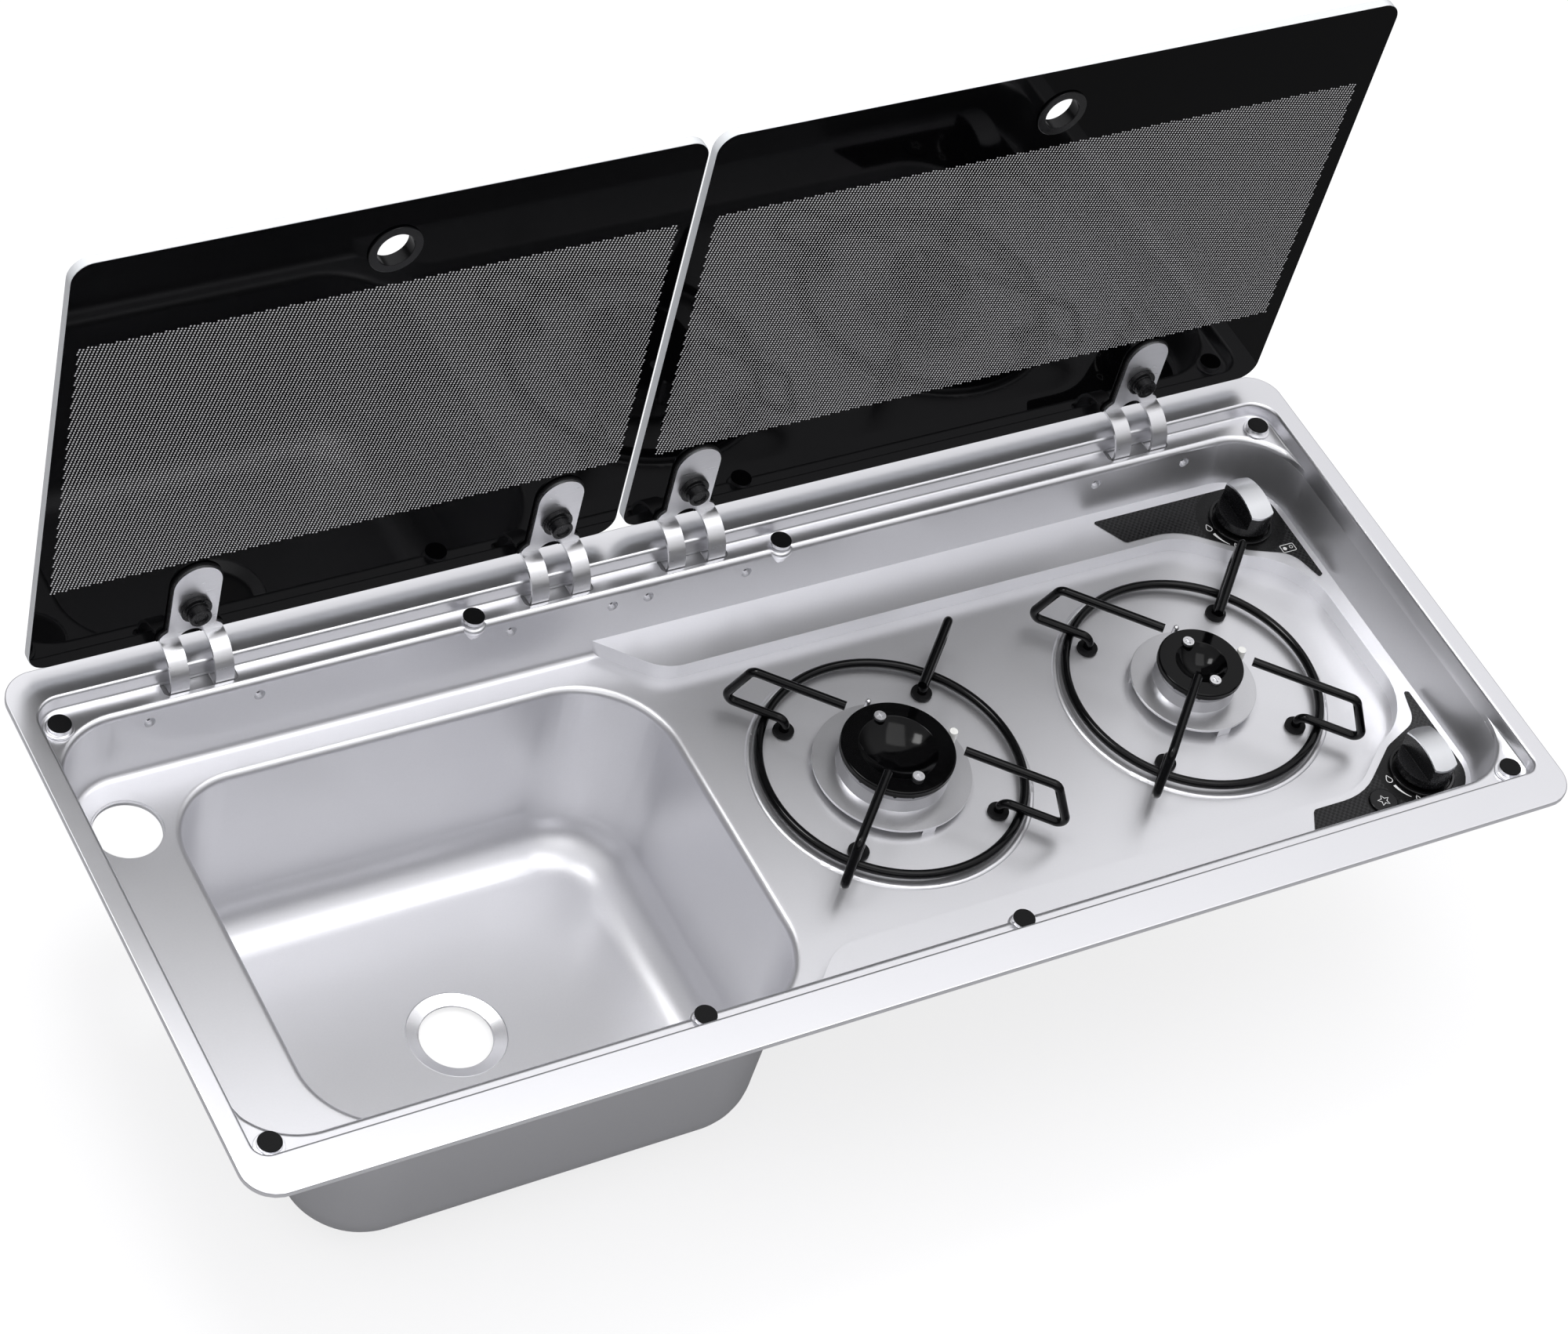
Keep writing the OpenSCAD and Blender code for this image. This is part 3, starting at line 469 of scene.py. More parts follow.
GLOSS_BLACK = Finish(
    "gloss_black", "black_plastic", (0.005, 0.005, 0.0055), 0.15, specular=0.28, relief=0.02
)
PANEL = CheckedPanel(
    "checked_panel", "black_panel", (0.009, 0.009, 0.0095), 0.3, specular=0.25,
    plain_spots=((*KNOBS["back"], 26.0), (*KNOBS["front"], 26.0), (*BUTTON, 9.5)),
)
PALE_PLASTIC = Finish("moulded_pale", "pale_plastic", (0.7, 0.7, 0.68), 0.5, relief=0.05)
PRINT_WHITE = Finish("white_print", "pale_plastic", (0.78, 0.78, 0.78), 0.45, relief=0.02)
BRASS = Finish("turned_brass", "brass", (0.72, 0.56, 0.26), 0.3, metallic=1.0, relief=0.08)
# Pale grey on the glass edges: a painted highlight, the thin bright line along each lid's edge.
GLASS_EDGE_HIGHLIGHT = Finish(
    "glass_edge_painted_highlight", "dark_glass", (0.80, 0.82, 0.84), 0.18, coat=0.3, tone=0.02, relief=0.0
)
LEFT_GLASS = PrintedGlass(
    "left_printed_glass", "dark_glass", (0.0015, 0.0015, 0.0018), 0.03,
    specular=0.05, rough_spread=0.008, relief=0.0, dots=DotField(-358.6, -50.0, 62.0, 229.0),
)
RIGHT_GLASS = replace(
    LEFT_GLASS, name="right_printed_glass", dots=DotField(-29.0, 356.0, 60.0, 229.2)
)


# ---------------------------------------------------------------- mesh helpers


def add_object(name: str, data: bpy.types.ID) -> Object:
    """Put a new object into the scene at the origin.

    Args:
        name: Its name.
        data: Its mesh, camera or lamp.

    Returns:
        The object.
    """
    obj = bpy.data.objects.new(name, data)
    bpy.context.scene.collection.objects.link(obj)
    return obj


def frame_top(node: str) -> float:
    """Return the height of a node's top in millimetres."""
    return max(v.co.z for v in frame["nodes"][node].data.vertices) / MM


def finish_mesh(
    bm: Mesh, name: str, crease: Crease = Crease.PLAIN, weighted: bool = True
) -> Object:
    """Turn a bmesh into a smooth shaded object with hard creases.

    Args:
        bm: The mesh, freed here.
        name: The new piece's name.
        crease: From which angle an edge stays hard.
        weighted: Whether large faces lead the shading.

    Returns:
        The new object at the origin.
    """
    limit = math.radians(crease.value)
    for face in bm.faces:
        face.smooth = True
    for edge in bm.edges:
        edge.smooth = len(edge.link_faces) == 2 and edge.calc_face_angle(math.pi) < limit
    mesh = bpy.data.meshes.new(name)
    bm.to_mesh(mesh)
    bm.free()
    obj = add_object(name, mesh)
    if weighted:
        obj.modifiers.new("face_weighted", "WEIGHTED_NORMAL").keep_sharp = True
    return obj


def dress(obj: Object, finish: Finish, body: str, *nodes: str) -> Object:
    """Give a piece its finish, its body and the CAD nodes it stands for.

    Args:
        obj: The piece.
        finish: Its finish.
        body: The body that carries it.
        *nodes: CAD nodes that it replaces.

    Returns:
        The piece.
    """
    obj.data.materials.clear()
    obj.data.materials.append(finish.make())
    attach(obj, body)
    if nodes:
        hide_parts(*nodes)
    LOG.info("%s rides on %s", obj.name, body)
    return obj


def paint(obj: Object, finish: Finish, chosen: Callable) -> None:
    """Give a second finish to some faces.

    Args:
        obj: The piece.
        finish: The second finish.
        chosen: Tells of a face whether it gets the finish.
    """
    obj.data.materials.append(finish.make())
    for face in obj.data.polygons:
        face.material_index = int(chosen(face))


def bevel(bm: Mesh, edges: list, width: float, steps: int) -> None:
    """Round some edges, with the width in millimetres."""
    bmesh.ops.bevel(
        bm, geom=edges, offset=width * MM, segments=steps, profile=0.5, affect="EDGES",
        clamp_overlap=True, material=-1,
    )


def thicken(bm: Mesh, faces: list, height: float) -> None:
    """Raise solids from flat faces.

    Args:
        bm: The mesh.
        faces: Its flat faces.
        height: The solids' height in millimetres.
    """
    top = bmesh.ops.extrude_face_region(bm, geom=faces)["geom"]
    moved = [v for v in top if isinstance(v, bmesh.types.BMVert)]
    bmesh.ops.translate(bm, verts=moved, vec=(0.0, 0.0, height * MM))
    bmesh.ops.recalc_face_normals(bm, faces=bm.faces[:])


@dataclass
class FormedPart:
    """A rigid part that takes its form from a CAD node and gets soft edges and a finish."""

    node: str
    finish: Finish
    edge: float = 0.3
    steps: int = 2
    crease: Crease = Crease.PLAIN

    def shape(self) -> Mesh:
        """Merge a copy of the node and soften its creases.

        Returns:
            The mesh.
        """
        bm = bmesh.new()
        bm.from_mesh(frame["nodes"][self.node].data)
        bmesh.ops.remove_doubles(bm, verts=bm.verts[:], dist=MERGE)
        bmesh.ops.dissolve_limit(
            bm, angle_limit=math.radians(FLAT_ANGLE), verts=bm.verts[:], edges=bm.edges[:],
            use_dissolve_boundaries=False,
        )
        limit = math.radians(self.crease.value)
        hard = [e for e in bm.edges if len(e.link_faces) == 2 and e.calc_face_angle(0.0) > limit]
        if self.edge > 0.0 and hard:
            bevel(bm, hard, self.edge, self.steps)
        return bm

    def build(self) -> Object:
        """Make the piece and put it on the node's body.

        Returns:
            The piece.
        """
        obj = finish_mesh(self.shape(), f"{self.node}_form", self.crease)
        return dress(obj, self.finish, frame["nodes"][self.node]["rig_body"], self.node)


# ---------------------------------------------------------------- pressed steel


def carve(bm: Mesh, cutter: Mesh) -> Mesh:
    """Take one solid mesh away from another.

    Args:
        bm: The mesh to cut, freed here.
        cutter: The solids to take away, freed here.

    Returns:
        The cut mesh.
    """
    pair = []
    for name, source in (("carved", bm), ("cutter", cutter)):
        mesh = bpy.data.meshes.new(name)
        source.to_mesh(mesh)
        source.free()
        pair.append(add_object(name, mesh))
    modifier = pair[0].modifiers.new("carve", "BOOLEAN")
    modifier.operation = "DIFFERENCE"
    modifier.solver = "EXACT"
    modifier.object = pair[1]
    result = bmesh.new()
    evaluated = pair[0].evaluated_get(bpy.context.evaluated_depsgraph_get())
    result.from_mesh(evaluated.to_mesh())
    evaluated.to_mesh_clear()
    for obj in pair:
        mesh = obj.data
        bpy.data.objects.remove(obj)
        bpy.data.meshes.remove(mesh)
    return result


def prism(bm: Mesh, outline: list, z0: float, z1: float) -> None:
    """Add an upright prism to a mesh.

    Args:
        bm: The mesh.
        outline: Points (x, y) in millimetres, in order.
        z0: Height of its foot in millimetres.
        z1: Height of its top in millimetres.
    """
    face = bm.faces.new([bm.verts.new((x * MM, y * MM, z0 * MM)) for x, y in outline])
    thicken(bm, [face], z1 - z0)


def circle(x: float, y: float, radius: float, steps: int) -> list:
    """List the points of a circle in millimetres."""
    turns = [math.tau * i / steps for i in range(steps)]
    return [(x + radius * math.cos(turn), y + radius * math.sin(turn)) for turn in turns]


def arc_rows(
    kind: str, centre: tuple, radius: float, start: float, end: float, steps: int
) -> list:
    """List the points of an arc in a section.

    Args:
        kind: The outline that the points follow.
        centre: Centre as outward offset and height.
        radius: Its radius.
        start: First angle in degrees, 0 outwards and 90 up.
        end: Last angle.
        steps: Its chords.

    Returns:
        Rows (kind, offset, height).
    """
    rows = []
    for i in range(steps + 1):
        angle = math.radians(start + (end - start) * i / steps)
        out, up = radius * math.cos(angle), radius * math.sin(angle)
        rows.append((kind, centre[0] + out, centre[1] + up))
    return rows


def flare(radius: float, draft: float) -> float:
    """Return how far a rounding spreads beyond the foot line of a wall that leans by draft."""
    return radius * (1.0 - math.sin(draft)) / math.cos(draft)


def skin_ring(sections: list) -> Mesh:
    """Join closed sections, each of the same number of points, into a closed ring.

    Args:
        sections: Lists of points in millimetres.

    Returns:
        The ring's mesh.
    """
    bm = bmesh.new()
    loops = [[bm.verts.new(Vector(point) * MM) for point in section] for section in sections]
    for here, there in zip(loops, loops[1:] + loops[:1]):
        for k in range(len(here)):
            bm.faces.new((here[k - 1], here[k], there[k], there[k - 1]))
    bmesh.ops.remove_doubles(bm, verts=bm.verts[:], dist=WELD)
    bmesh.ops.recalc_face_normals(bm, faces=bm.faces[:])
    return bm


def turn_profile(
    profile: list, x: float, y: float, closed: bool = False, steps: int = 96
) -> Mesh:
    """Turn a profile round an upright axis.

    Args:
        profile: Points (radius, height) in millimetres.
        x: Place of the axis in millimetres.
        y: Place of the axis in millimetres.
        closed: Whether the profile runs back to its start.
        steps: Faces in the turn.

    Returns:
        The turned mesh.
    """
    bm = bmesh.new()
    verts = [bm.verts.new(((x + radius) * MM, y * MM, z * MM)) for radius, z in profile]
    after = verts[1:] + verts[:1] if closed else verts[1:]
    edges = [bm.edges.new(pair) for pair in zip(verts, after)]
    bmesh.ops.spin(
        bm, geom=verts + edges, cent=(x * MM, y * MM, 0.0), axis=(0.0, 0.0, 1.0),
        angle=math.tau, steps=steps, use_merge=True,
    )
    bmesh.ops.remove_doubles(bm, verts=bm.verts[:], dist=WELD)
    bmesh.ops.recalc_face_normals(bm, faces=bm.faces[:])
    return bm


@dataclass(frozen=True)
class RoundedOutline:
    """A rounded rectangle in plan, in millimetres, its radii from back right counter-clockwise."""

    x0: float
    x1: float
    y0: float
    y1: float
    radii: tuple

    def corner(self, k: int, grow: float = 0.0) -> tuple:
        """Give a corner's centre and radius.

        Args:
            k: 0 back right, 1 back left, 2 front left, 3 front right.
            grow: Outward offset of the outline.

        Returns:
            The centre and the radius.
        """
        r = self.radii[k]
        x = self.x1 - r if k in (0, 3) else self.x0 + r
        y = self.y1 - r if k < 2 else self.y0 + r
        return Vector((x, y)), r + grow

    def loop(self, grow: float, steps: int = 20) -> list:
        """List the outline's points.

        Args:
            grow: Outward offset.
            steps: Chords in each corner.

        Returns:
            Points (x, y).
        """
        points = []
        for k in range(4):
            centre, radius = self.corner(k, grow)
            for i in range(steps + 1):
                angle = math.pi / 2.0 * (k + i / steps)
                across, along = radius * math.cos(angle), radius * math.sin(angle)
                points.append((centre.x + across, centre.y + along))
        return points

    def leave(self, k: int, start: Vector, way: Vector) -> tuple:
        """Find where a ray leaves the outline near a corner.

        Args:
            k: The corner.
            start: A point inside.
            way: The ray's unit direction.

        Returns:
            The point and the outward normal.
        """
        centre, radius = self.corner(k)
        sx = 1.0 if k in (0, 3) else -1.0
        sy = 1.0 if k < 2 else -1.0
        if abs(way.x) > NIL:
            point = start + way * ((centre.x + sx * radius - start.x) / way.x)
            if (point.y - centre.y) * sy <= NIL:
                return point, Vector((sx, 0.0))
        if abs(way.y) > NIL:
            point = start + way * ((centre.y + sy * radius - start.y) / way.y)
            if (point.x - centre.x) * sx <= NIL:
                return point, Vector((0.0, sy))
        off = start - centre
        b = off.dot(way)
        point = start + way * (math.sqrt(b * b - off.length_squared + radius**2) - b)
        return point, (point - centre).normalized()


@dataclass(frozen=True)
class Station:
    """One place round the rim: its shelf, step and edge points with their outward directions."""

    shelf: tuple
    step: tuple
    edge: tuple
    bend: float = 1.0
    boss: tuple = ()


@dataclass
class PressedRim:
    """The rim, step and shelf with rounded bends, down to where the deck's wall goes on."""

    half_x: float = 380.0
    half_y: float = 162.5
    corner_r: float = 18.0
    lip: float = 2.8
    lip_r: float = 0.8
    sheet: float = 1.0
    step_side: float = 12.5
    step_back: float = 18.3
    step_front: float = 20.7
    step_radii: tuple = (14.0, 14.0, 8.0, 8.0)
    drop: float = 8.5
    draft: float = 7.5
    rim_r: float = 1.8
    foot_r: float = 1.5
    shelf_back: float = 33.8
    shelf_front: float = 32.5
    shelf_corner_r: float = 36.7
    shelf_r: float = 3.43
    wall_end: float = -12.0
    form_gap: float = 6.0
    boss_x: tuple = (49.02, -132.24)
    boss_y: tuple = (132.5, -133.7)
    boss_r: float = 8.2
    boss_lean: float = 4.8 / 13.0
    boss_steps: int = 12
    corner_steps: tuple = (14, 18, 10)
    hinges: tuple = (-281.1, -81.2, -1.0, 280.0)
    slot_half: float = 20.0
    slot_depth: float = 8.2
    slot_r: float = 3.0
    slot_back: float = 1.4
    slot_low: float = 3.0
    slot_high: float = 1.5

    def __post_init__(self) -> None:
        """Work out the outlines and the wall's lean."""
        self.lean = math.radians(self.draft)
        self.rise = math.tan(self.lean)
        self.inset = self.drop * self.rise
        spread = flare(self.rim_r, self.lean)
        hx, hy = self.half_x, self.half_y
        bx = hx - self.step_side
        ax = bx + self.inset
        self.edge_line = RoundedOutline(-hx, hx, -hy, hy, (self.corner_r,) * 4)
        self.step_line = RoundedOutline(
            -ax, ax, self.step_front + spread - hy, hy - self.step_back - spread, self.step_radii
        )
        self.shelf_line = RoundedOutline(
            -bx, bx, self.shelf_front - hy, hy - self.shelf_back, (self.shelf_corner_r,) * 4
        )

    def bend_at(self, shelf: Vector, step: tuple) -> float:
        """Tell how far the shelf's bends are formed at a station.

        Args:
            shelf: The shelf's point.
            step: The step's point and its outward direction.

        Returns:
            A share from 0, where the shelf runs out, to 1.
        """
        gap = (step[0] - step[1] * self.inset - shelf).length
        share = min(1.0, gap / self.form_gap)
        return share * share * (3.0 - 2.0 * share)

    def corner_stations(self, k: int) -> list:
        """List the stations of one corner.

        Args:
            k: The corner.

        Returns:
            The stations in order.
        """
        start, radius = self.shelf_line.corner(k)
        mirrored = k % 2 == 1
        centre, inner = self.step_line.corner(k)
        marks = [0.0]
        for reach in ((inner, 0.0), (0.0, inner)):
            off = centre - start
            marks.append(math.degrees(math.atan2(abs(off.y) + reach[1], abs(off.x) + reach[0])))
        marks.append(90.0)
        turns = []
        for low, high, steps in zip(marks, marks[1:], self.corner_steps):
            turns += [low + (high - low) * i / steps for i in range(steps)]
        turns.append(90.0)
        if mirrored:
            turns = [90.0 - turn for turn in reversed(turns)]
        stations = []
        for turn in turns:
            angle = math.radians(90.0 * k + turn)
            way = Vector((math.cos(angle), math.sin(angle)))
            shelf = start + way * radius
            step = self.step_line.leave(k, start, way)
            edge = self.edge_line.leave(k, start, way)
            stations.append(Station((shelf, way), step, edge, self.bend_at(shelf, step)))
        return stations

    def boss_stations(self, back: bool) -> list:
        """List the stations round the bosses of the back or front side.

        Args:
            back: Whether the side is the back one.

        Returns:
            The stations in order.
        """
        side = 1.0 if back else -1.0
        out = Vector((0.0, side))
        y = self.shelf_line.y1 if back else self.shelf_line.y0
        step_y = self.step_line.y1 if back else self.step_line.y0
        middle = self.boss_y[0] if back else self.boss_y[1]
        spread = math.acos(abs(middle - y) / self.boss_r)
        stations = []
        for x in self.boss_x if back else reversed(self.boss_x):
            for i in range(self.boss_steps + 1):
                share = (1.0 - 2.0 * i / self.boss_steps) * side
                here = x + self.boss_r * math.sin(share * spread)
                stations.append(
                    Station(
                        (Vector((here, y)), out),
                        (Vector((here, step_y)), out),
                        (Vector((here, side * self.half_y)), out),
                        boss=(Vector((x, middle)), share),
                    )
                )
        return stations

    def rows(self, bend: float) -> list:
        """List a section's points from the lip over the shelf to the wall and back below.

        Args:
            bend: How far the shelf's bends are formed.

        Returns:
            Rows (outline, offset, height).
        """
        lean, rise, t = self.lean, self.rise, self.sheet
        tilt = 180.0 - self.draft
        foot = self.foot_r * bend
        foot_z = foot - self.drop
        foot_at = (foot_z * rise - foot / math.cos(lean), foot_z)
        roll = self.shelf_r * bend
        roll_at = (bend * t * rise + flare(roll, lean), -self.drop - roll)
        rim_at = (flare(self.rim_r, lean), -self.rim_r)
        wall = (self.wall_end + self.drop + t) * rise
        under = (bend - 1.0) * t * rise + t / math.cos(lean)
        rows = [("edge", 0.0, -self.lip)]
        rows += arc_rows("edge", (-self.lip_r, -self.lip_r), self.lip_r, 0.0, 90.0, 4)
        rows += arc_rows("step", rim_at, self.rim_r, 90.0, tilt, 6)
        rows += arc_rows("step", foot_at, foot, -self.draft, -90.0, 4)
        rows += arc_rows("shelf", roll_at, roll, 90.0, tilt, 7)
        rows += [("shelf", wall + skin, self.wall_end) for skin in (0.0, t / math.cos(lean))]
        if roll > t:
            rows += arc_rows("shelf", roll_at, roll - t, tilt, 90.0, 3)
        else:
            rows += [("shelf", under, -self.drop - t)] * 4
        turn = self.draft + (90.0 - self.draft) * bend
        rows += arc_rows("step", foot_at, foot + t, -turn, -self.draft, 3)
        rows += arc_rows("step", rim_at, self.rim_r - t, tilt, 90.0, 3)
        rows += [("edge", -t, -t), ("edge", -t, -self.lip)]
        return rows

    def place(self, station: Station, row: tuple) -> tuple:
        """Put a section's point into the frame.

        Args:
            station: Where the section stands.
            row: The point.

        Returns:
            The point (x, y, z) in millimetres.
        """
        kind, offset, z = row
        point, out = getattr(station, kind)
        if kind == "shelf" and station.boss:
            centre, share = station.boss
            inset = offset - (z + self.drop + self.sheet) * self.rise
            radius = self.boss_r + (z + self.drop) * self.boss_lean - inset
            reach = abs(centre.y - point.y) - offset
            angle = share * math.acos(min(1.0, reach / radius))
            side = 1.0 if out.y > 0.0 else -1.0
            x = centre.x + radius * math.sin(angle)
            return (x, centre.y - side * radius * math.cos(angle), z)
        place = point + out * offset
        return (place.x, place.y, z)

    def shape(self) -> Mesh:
        """Make the rim with its hinge slots.

        Returns:
            The mesh.
        """
        stations = []
        for k in range(4):
            stations += self.corner_stations(k)
            if k % 2 == 0:
                stations += self.boss_stations(k == 0)
        ring = skin_ring([[self.place(s, row) for row in self.rows(s.bend)] for s in stations])
        slots = bmesh.new()
        back = self.step_line.y1 - self.slot_back
        half, r = self.slot_half, self.slot_r
        for x in self.hinges:
            front = back - self.slot_depth
            slot = RoundedOutline(x - half, x + half, front, back, (0.5, 0.5, r, r))
            foot, top = -self.drop - self.slot_low, -self.drop + self.slot_high
            prism(slots, slot.loop(0.0, 8), foot, top)
        return carve(ring, slots)

    def build(self) -> None:
        """Make the rim and put it on the tray."""
        dress(finish_mesh(self.shape(), "pressed_rim"), RIM_STEEL, "tray", "rim_frame")


@dataclass
class BowlLip:
    """The rolled edge between the sink deck and the bowl."""

    outline: RoundedOutline = RoundedOutline(
        -311.15, -43.85, -113.85, 106.25, (50.25, 38.25, 44.25, 46.25)
    )
    deck_z: float = -50.0
    sheet: float = 1.0
    draft: float = 2.14
    roll: float = 4.0
    reach: float = 6.0
    wall_end: float = -56.0

    def shape(self) -> Mesh:
        """Make the closed ring of the rolled edge.

        Returns:
            The mesh.
        """
        lean = math.radians(self.draft)
        t = self.sheet
        tilt = 180.0 - self.draft
        at = (t * math.tan(lean) + flare(self.roll, lean), self.deck_z - self.roll)
        wall = (self.wall_end - self.deck_z + t) * math.tan(lean)
        rows = [("", self.reach, self.deck_z)]
        rows += arc_rows("", at, self.roll, 90.0, tilt, 8)
        rows += [("", wall, self.wall_end), ("", wall + t / math.cos(lean), self.wall_end)]
        rows += arc_rows("", at, self.roll - t, tilt, 90.0, 5)
        rows += [("", self.reach, self.deck_z - t)]
        loops = []
        for _, offset, z in rows:
            loops.append([(x, y, z) for x, y in self.outline.loop(offset, LIP_STEPS)])
        return skin_ring([list(section) for section in zip(*loops)])

    def build(self) -> None:
        """Make the lip and put it on the tray."""
        dress(finish_mesh(self.shape(), "bowl_rolled_lip"), STAINLESS, "tray")


@dataclass
class CutPressing(FormedPart):
    """A pressed part that ends where a rolled bend takes over.

    Its hole is an outline, how far that grows, and the deck's height. Its ledge is the height of
    the edge to round, the x where that edge ends, and the radius.
    """

    top: float = 0.0
    hole: tuple = ()
    ledge: tuple = ()
    near: float = 0.05
    sharp: float = 1.0
    through: float = 3.0

    def shape(self) -> Mesh:
        """Cut the part off at the height of the bend and open the hole.

        Returns:
            The mesh.
        """
        bm = super().shape()
        if self.ledge:
            height, end, radius = self.ledge
            rim = [
                e
                for e in bm.edges
                if all(abs(v.co.z / MM - height) < self.near and v.co.x / MM < end for v in e.verts)
                and e.calc_face_angle(0.0) > self.sharp
            ]
            bevel(bm, rim, radius, 5)
        geom = bm.verts[:] + bm.edges[:] + bm.faces[:]
        level = (0.0, 0.0, self.top * MM)
        cut = bmesh.ops.bisect_plane(
            bm, geom=geom, plane_co=level, plane_no=(0.0, 0.0, 1.0), clear_outer=True
        )["geom_cut"]
        edges = [e for e in cut if isinstance(e, bmesh.types.BMEdge) and e.is_boundary]
        bmesh.ops.triangle_fill(bm, edges=edges, use_beauty=True)
        bmesh.ops.recalc_face_normals(bm, faces=bm.faces[:])
        if self.hole:
            outline, reach, z = self.hole
            cutter = bmesh.new()
            border = outline.loop(reach, LIP_STEPS)
            prism(cutter, border, z - self.through, z + self.through)
            bm = carve(bm, cutter)
        return bm


@dataclass
class BufferPads(FormedPart):
    """The lid buffers: black rubber discs in bright metal cups."""

    cup: Finish = RIM_STEEL
    disc_h: float = 0.7

    def build(self) -> Object:
        """Make the pads with everything below their discs bright.

        Returns:
            The piece.
        """
        obj = super().build()
        foot = (frame_top(self.node) - self.disc_h) * MM
        paint(obj, self.cup, lambda face: face.center.z < foot)
        return obj


# ---------------------------------------------------------------- sub-assemblies


@dataclass
class Tray:
    """The pressed steel body: rim, recess, deck and bowl."""

    rim: PressedRim = field(default_factory=PressedRim)
    lip: BowlLip = field(default_factory=BowlLip)
    waste: tuple = (-178.0, -3.5)
    seat_r: float = 27.0
    seat_h: float = 3.0
    hole_r: float = 19.6
    bowl_z: float = -170.0
    ledge: tuple = (-40.0, -24.01, 1.6)

    def seat(self) -> None:
        """Make the countersunk seat round the waste hole."""
        rim, hole, z = self.seat_r, self.hole_r, self.bowl_z
        profile = [(rim, z - 0.5), (rim - 0.4, z - 0.25), (rim - 0.9, z - 0.4)]
        profile += [(hole + 1.2, z - 2.1), (hole + 0.4, z - 2.3), (hole, z - 2.7)]
        profile += [(hole, z - self.seat_h), (rim, z - self.seat_h)]
        bm = turn_profile(profile, *self.waste, closed=True)
        dress(finish_mesh(bm, "waste_countersink"), SEAT_STEEL, "tray", "waste_seat")

    def build(self) -> None:
        """Make every pressed piece and what is fixed to it."""
        self.rim.build()
        self.lip.build()
        top = self.rim.wall_end
        hole = (self.lip.outline, self.lip.reach, self.lip.deck_z)
        CutPressing(
            "sink_deck", STAINLESS, edge=0.0, top=top, hole=hole, ledge=self.ledge
        ).build()
        CutPressing("hob_deck", STAINLESS, edge=0.0, top=top).build()
        CutPressing("sink_bowl", STAINLESS, edge=0.0, top=self.lip.wall_end).build()
        self.seat()
        FormedPart("tap_plate", STAINLESS, edge=0.0).build()
        FormedPart("rim_seal", RUBBER, edge=0.2).build()
        BufferPads("bumper_pads", RUBBER, edge=0.5).build()
        FormedPart("hinge_housings", HOUSING_STEEL, edge=0.0).build()
        FormedPart("hinge_pins", BRIGHT_STEEL, edge=0.3).build()


@dataclass
class Lid:
    """One glass lid with its finger ring and two hinges."""

    side: str
    glass: PrintedGlass
    flat: float = 0.999

    def pane(self) -> None:
        """Make the glass with polished, slightly bevelled edges painted pale grey as a highlight.
        """
        node = f"{self.side}_glass"
        part = FormedPart(node, self.glass, edge=0.7, steps=3, crease=Crease.SOFT)
        obj = finish_mesh(part.shape(), f"{node}_pane", Crease.GLASS)
        dress(obj, self.glass, f"{self.side}_lid", node)
        # The edge faces get a pale grey painted highlight.
        paint(obj, GLASS_EDGE_HIGHLIGHT, lambda face: abs(face.normal.y) <= self.flat)

    def build(self) -> None:
        """Make the lid's pieces."""
        self.pane()
        FormedPart(f"{self.side}_finger_ring", GLOSS_BLACK, edge=0.4, steps=3).build()
        FormedPart(f"{self.side}_hinge_brackets", BRIGHT_STEEL, edge=0.25).build()
        FormedPart(f"{self.side}_hinge_gaskets", RUBBER, edge=0.2).build()
        FormedPart(f"{self.side}_hinge_bolts", KNOB_BLACK, edge=0.5, steps=3).build()


@dataclass
class BurnerCap:
    """An enamelled cap with a round dish in its top, turned from one profile.

    The groove is how far it lies below the middle of the edge, half its width and its depth.
    The rounds are the radii of the outer edge and of the dish's edge.
    """

    side: str
    x: float
    radius: float
    dish: float
    screws: float
    y: float = 1.5
    foot: float = -34.0
    top: float = -29.3
    depth: float = 7.0
    sheet: float = 1.5
    post_r: float = 3.4
    slope: float = 4.0
    lap: float = 0.5
    chamfer: float = 0.8
    groove: tuple = (0.4, 0.2, 0.3)
    rounds: tuple = (0.9, 0.7)
    fullness: float = 0.85
    sag: float = 0.16
    steps: int = 12

    def profile(self) -> list:
        """List the profile's points from the middle of the underside to the middle of the dish.

        Returns:
            Points (radius, height) in millimetres.
        """
        r, q, top, foot = self.radius, self.dish, self.top, self.foot
        low = top - self.depth - self.sheet
        below, half, deep = self.groove
        line = (top + foot) / 2.0 - below
        outer, inner = self.rounds
        points = [(0.0, low), (q - self.slope, low), (q + self.lap, foot)]
        points += [(r - self.chamfer, foot), (r, foot + self.chamfer)]
        points += [(r, line - half), (r - deep, line), (r, line + half)]
        rounds = arc_rows("", (r - outer, top - outer), outer, 0.0, 90.0, 5)
        rounds += arc_rows("", (q + inner, top - inner), inner, 90.0, 130.0, 3)
        points += [(reach, z) for _, reach, z in rounds]
        for i in range(1, self.steps + 1):
            share = 1.0 - i / self.steps
            fall = self.depth * (1.0 - share * share) ** self.fullness
            points.append((q * share, top - fall - self.sag * share))
        return points

    def build(self) -> None:
        """Turn the profile and add the posts under the screws."""
        bm = turn_profile(self.profile(), self.x, self.y)
        for y in (self.y - self.screws, self.y + self.screws):
            prism(bm, circle(self.x, y, self.post_r, 32), self.foot + 0.3, self.top)
        dress(finish_mesh(bm, f"{self.side}_turned_cap"), ENAMEL, "tray", f"{self.side}_burner_cap")


